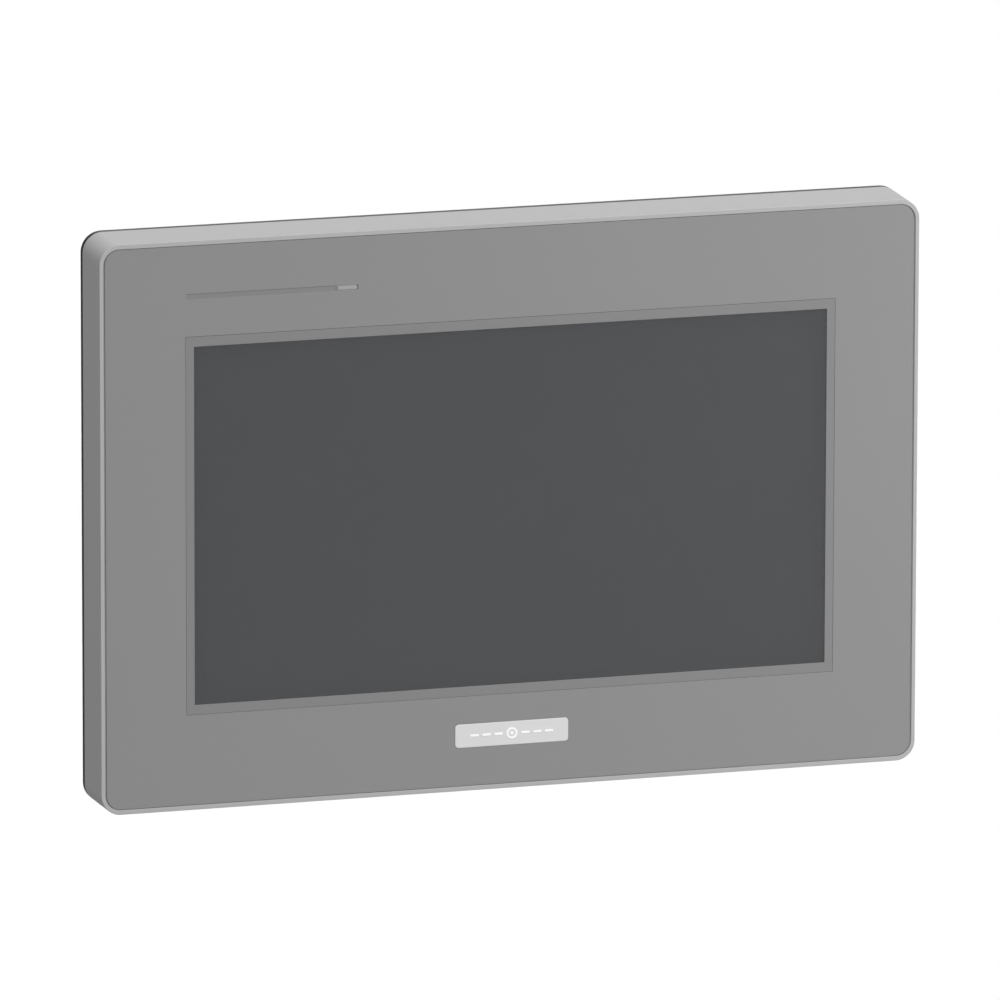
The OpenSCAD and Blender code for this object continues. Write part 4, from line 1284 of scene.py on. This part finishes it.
@dataclass
class Studio:
    """Pale floor, soft lights and the camera."""

    azimuth: float = -16.94
    elevation: float = 12.59
    roll: float = 0.133
    distance: float = 3.2351
    aim_x: float = -3.0
    aim_z: float = 1.65
    lens: float = 499.2
    sensor: float = 36.0
    clip: tuple[float, float] = (0.1, 200.0)
    floor_z: float = -0.9
    floor_half: float = 30.0
    suns: tuple[tuple[str, float, Direction], ...] = (
        ("front_sun", 1.97, (0.1, -0.7, 0.68)),
        ("rear_sun", 1.98, (0.2, 0.65, 0.65)),
        ("top_sun", 0.6, (-0.3, -0.1, 1.0)),
        ("left_sun", 1.0, (-0.75, -0.6, 0.3)))
    softboxes: tuple[tuple[str, float, Direction], ...] = (
        ("softbox", 1.7, (0.45, -0.35, 0.15)),
        ("underlight", 7.0, (0.7, 0.5, -0.6)))
    softbox_size: float = 0.3
    sky: float = 0.06
    sky_seen: float = 1.05

    def build(self) -> None:
        """Makes the floor, the lights and the camera."""
        self.build_floor()
        self.build_lights()
        self.build_camera()

    def build_floor(self) -> None:
        """Makes the floor."""
        bm = bmesh.new()
        half, z = self.floor_half / MM, self.floor_z / MM
        corners = [(-half, -half), (half, -half), (half, half), (-half, half)]
        bm.faces.new([bm.verts.new((x, y, z)) for x, y in corners])
        floor = piece_from("studio_floor", bm, PAPER_FLOOR)
        if floor.data.polygons[0].normal.z < 0:
            floor.data.flip_normals()

    def build_lights(self) -> None:
        """Makes the sky, the four soft suns and the two softboxes."""
        self.build_sky()
        for name, strength, towards in self.suns:
            self.sun(name, strength, Vector(towards))
        for name, watts, place in self.softboxes:
            self.softbox(name, watts, Vector(place))

    def softbox(self, name: str, watts: float, place: Vector) -> None:
        """Makes one square softbox that faces the object.

        Args:
            name: Name of the light.
            watts: Power of the light.
            place: Its place.
        """
        box = bpy.data.lights.new(name, "AREA")
        box.energy = watts
        box.size = self.softbox_size
        lamp = bpy.data.objects.new(name, box)
        lamp.location = place
        lamp.rotation_mode = "QUATERNION"
        lamp.rotation_quaternion = (-place).to_track_quat("-Z", "Y")
        lamp.visible_camera = False
        bpy.context.scene.collection.objects.link(lamp)

    def build_sky(self) -> None:
        """Makes a sky that gives little light and looks pale where it is seen."""
        world = bpy.data.worlds.new("studio_sky")
        world.use_nodes = True
        tree = world.node_tree
        background = tree.nodes["Background"]
        background.inputs["Color"].default_value = (1, 1, 1, 1)
        seen = tree.nodes.new("ShaderNodeLightPath").outputs["Is Camera Ray"]
        strength = tree.nodes.new("ShaderNodeMapRange")
        strength.inputs["To Min"].default_value = self.sky
        strength.inputs["To Max"].default_value = self.sky_seen
        tree.links.new(seen, strength.inputs["Value"])
        tree.links.new(strength.outputs["Result"], background.inputs["Strength"])
        bpy.context.scene.world = world

    def sun(self, name: str, strength: float, towards: Vector) -> None:
        """Makes one soft sun.

        Args:
            name: Name of the light.
            strength: Irradiance of the light.
            towards: Direction from the object to the light.
        """
        light = bpy.data.lights.new(name, "SUN")
        light.energy = strength
        light.angle = math.radians(SUN_DEGREES)
        lamp = bpy.data.objects.new(name, light)
        lamp.rotation_mode = "QUATERNION"
        lamp.rotation_quaternion = (-towards).to_track_quat("-Z", "Y")
        bpy.context.scene.collection.objects.link(lamp)

    def build_camera(self) -> None:
        """Makes the camera and sets it as the scene's."""
        turn, lift, roll = (math.radians(a) for a in (self.azimuth, self.elevation, self.roll))
        back = Vector((math.sin(turn) * math.cos(lift), -math.cos(turn) * math.cos(lift),
                       math.sin(lift)))
        level = Vector((math.cos(turn), math.sin(turn), 0))
        upright = back.cross(level)
        right = math.cos(roll) * level + math.sin(roll) * upright
        up = -math.sin(roll) * level + math.cos(roll) * upright
        sheet_low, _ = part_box("front_overlay")
        aim = Vector((self.aim_x * MM, sheet_low.y, self.aim_z * MM))
        camera = bpy.data.cameras.new("camera")
        camera.lens = self.lens
        camera.sensor_width = self.sensor
        camera.clip_start, camera.clip_end = self.clip
        viewer = bpy.data.objects.new("camera", camera)
        place = Matrix((right, up, back)).transposed().to_4x4()
        place.translation = aim + back * self.distance
        viewer.matrix_world = place
        bpy.context.scene.collection.objects.link(viewer)
        bpy.context.scene.camera = viewer


def main() -> None:
    """Builds every sub-assembly in order, then the studio round it."""
    logging.basicConfig(level=logging.INFO, format="%(name)s: %(message)s")
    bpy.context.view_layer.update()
    bpy.context.scene.view_settings.view_transform = "Standard"
    FrontFrame().build()
    FrontSheet().build()
    Badge().build()
    StatusLight().build()
    DisplayWindow().build()
    RatingLabel().build()
    PanelClips().build()
    JackContacts().build("ethernet_jack", with_lights=True)
    JackContacts().build("serial_jack", with_lights=False)
    PlugContacts().build()
    for finish, edge, nodes in CAD_FINISHES:
        for node in nodes:
            dress(node, finish, edge)
    Studio().build()


if __name__ == "__main__":
    main()
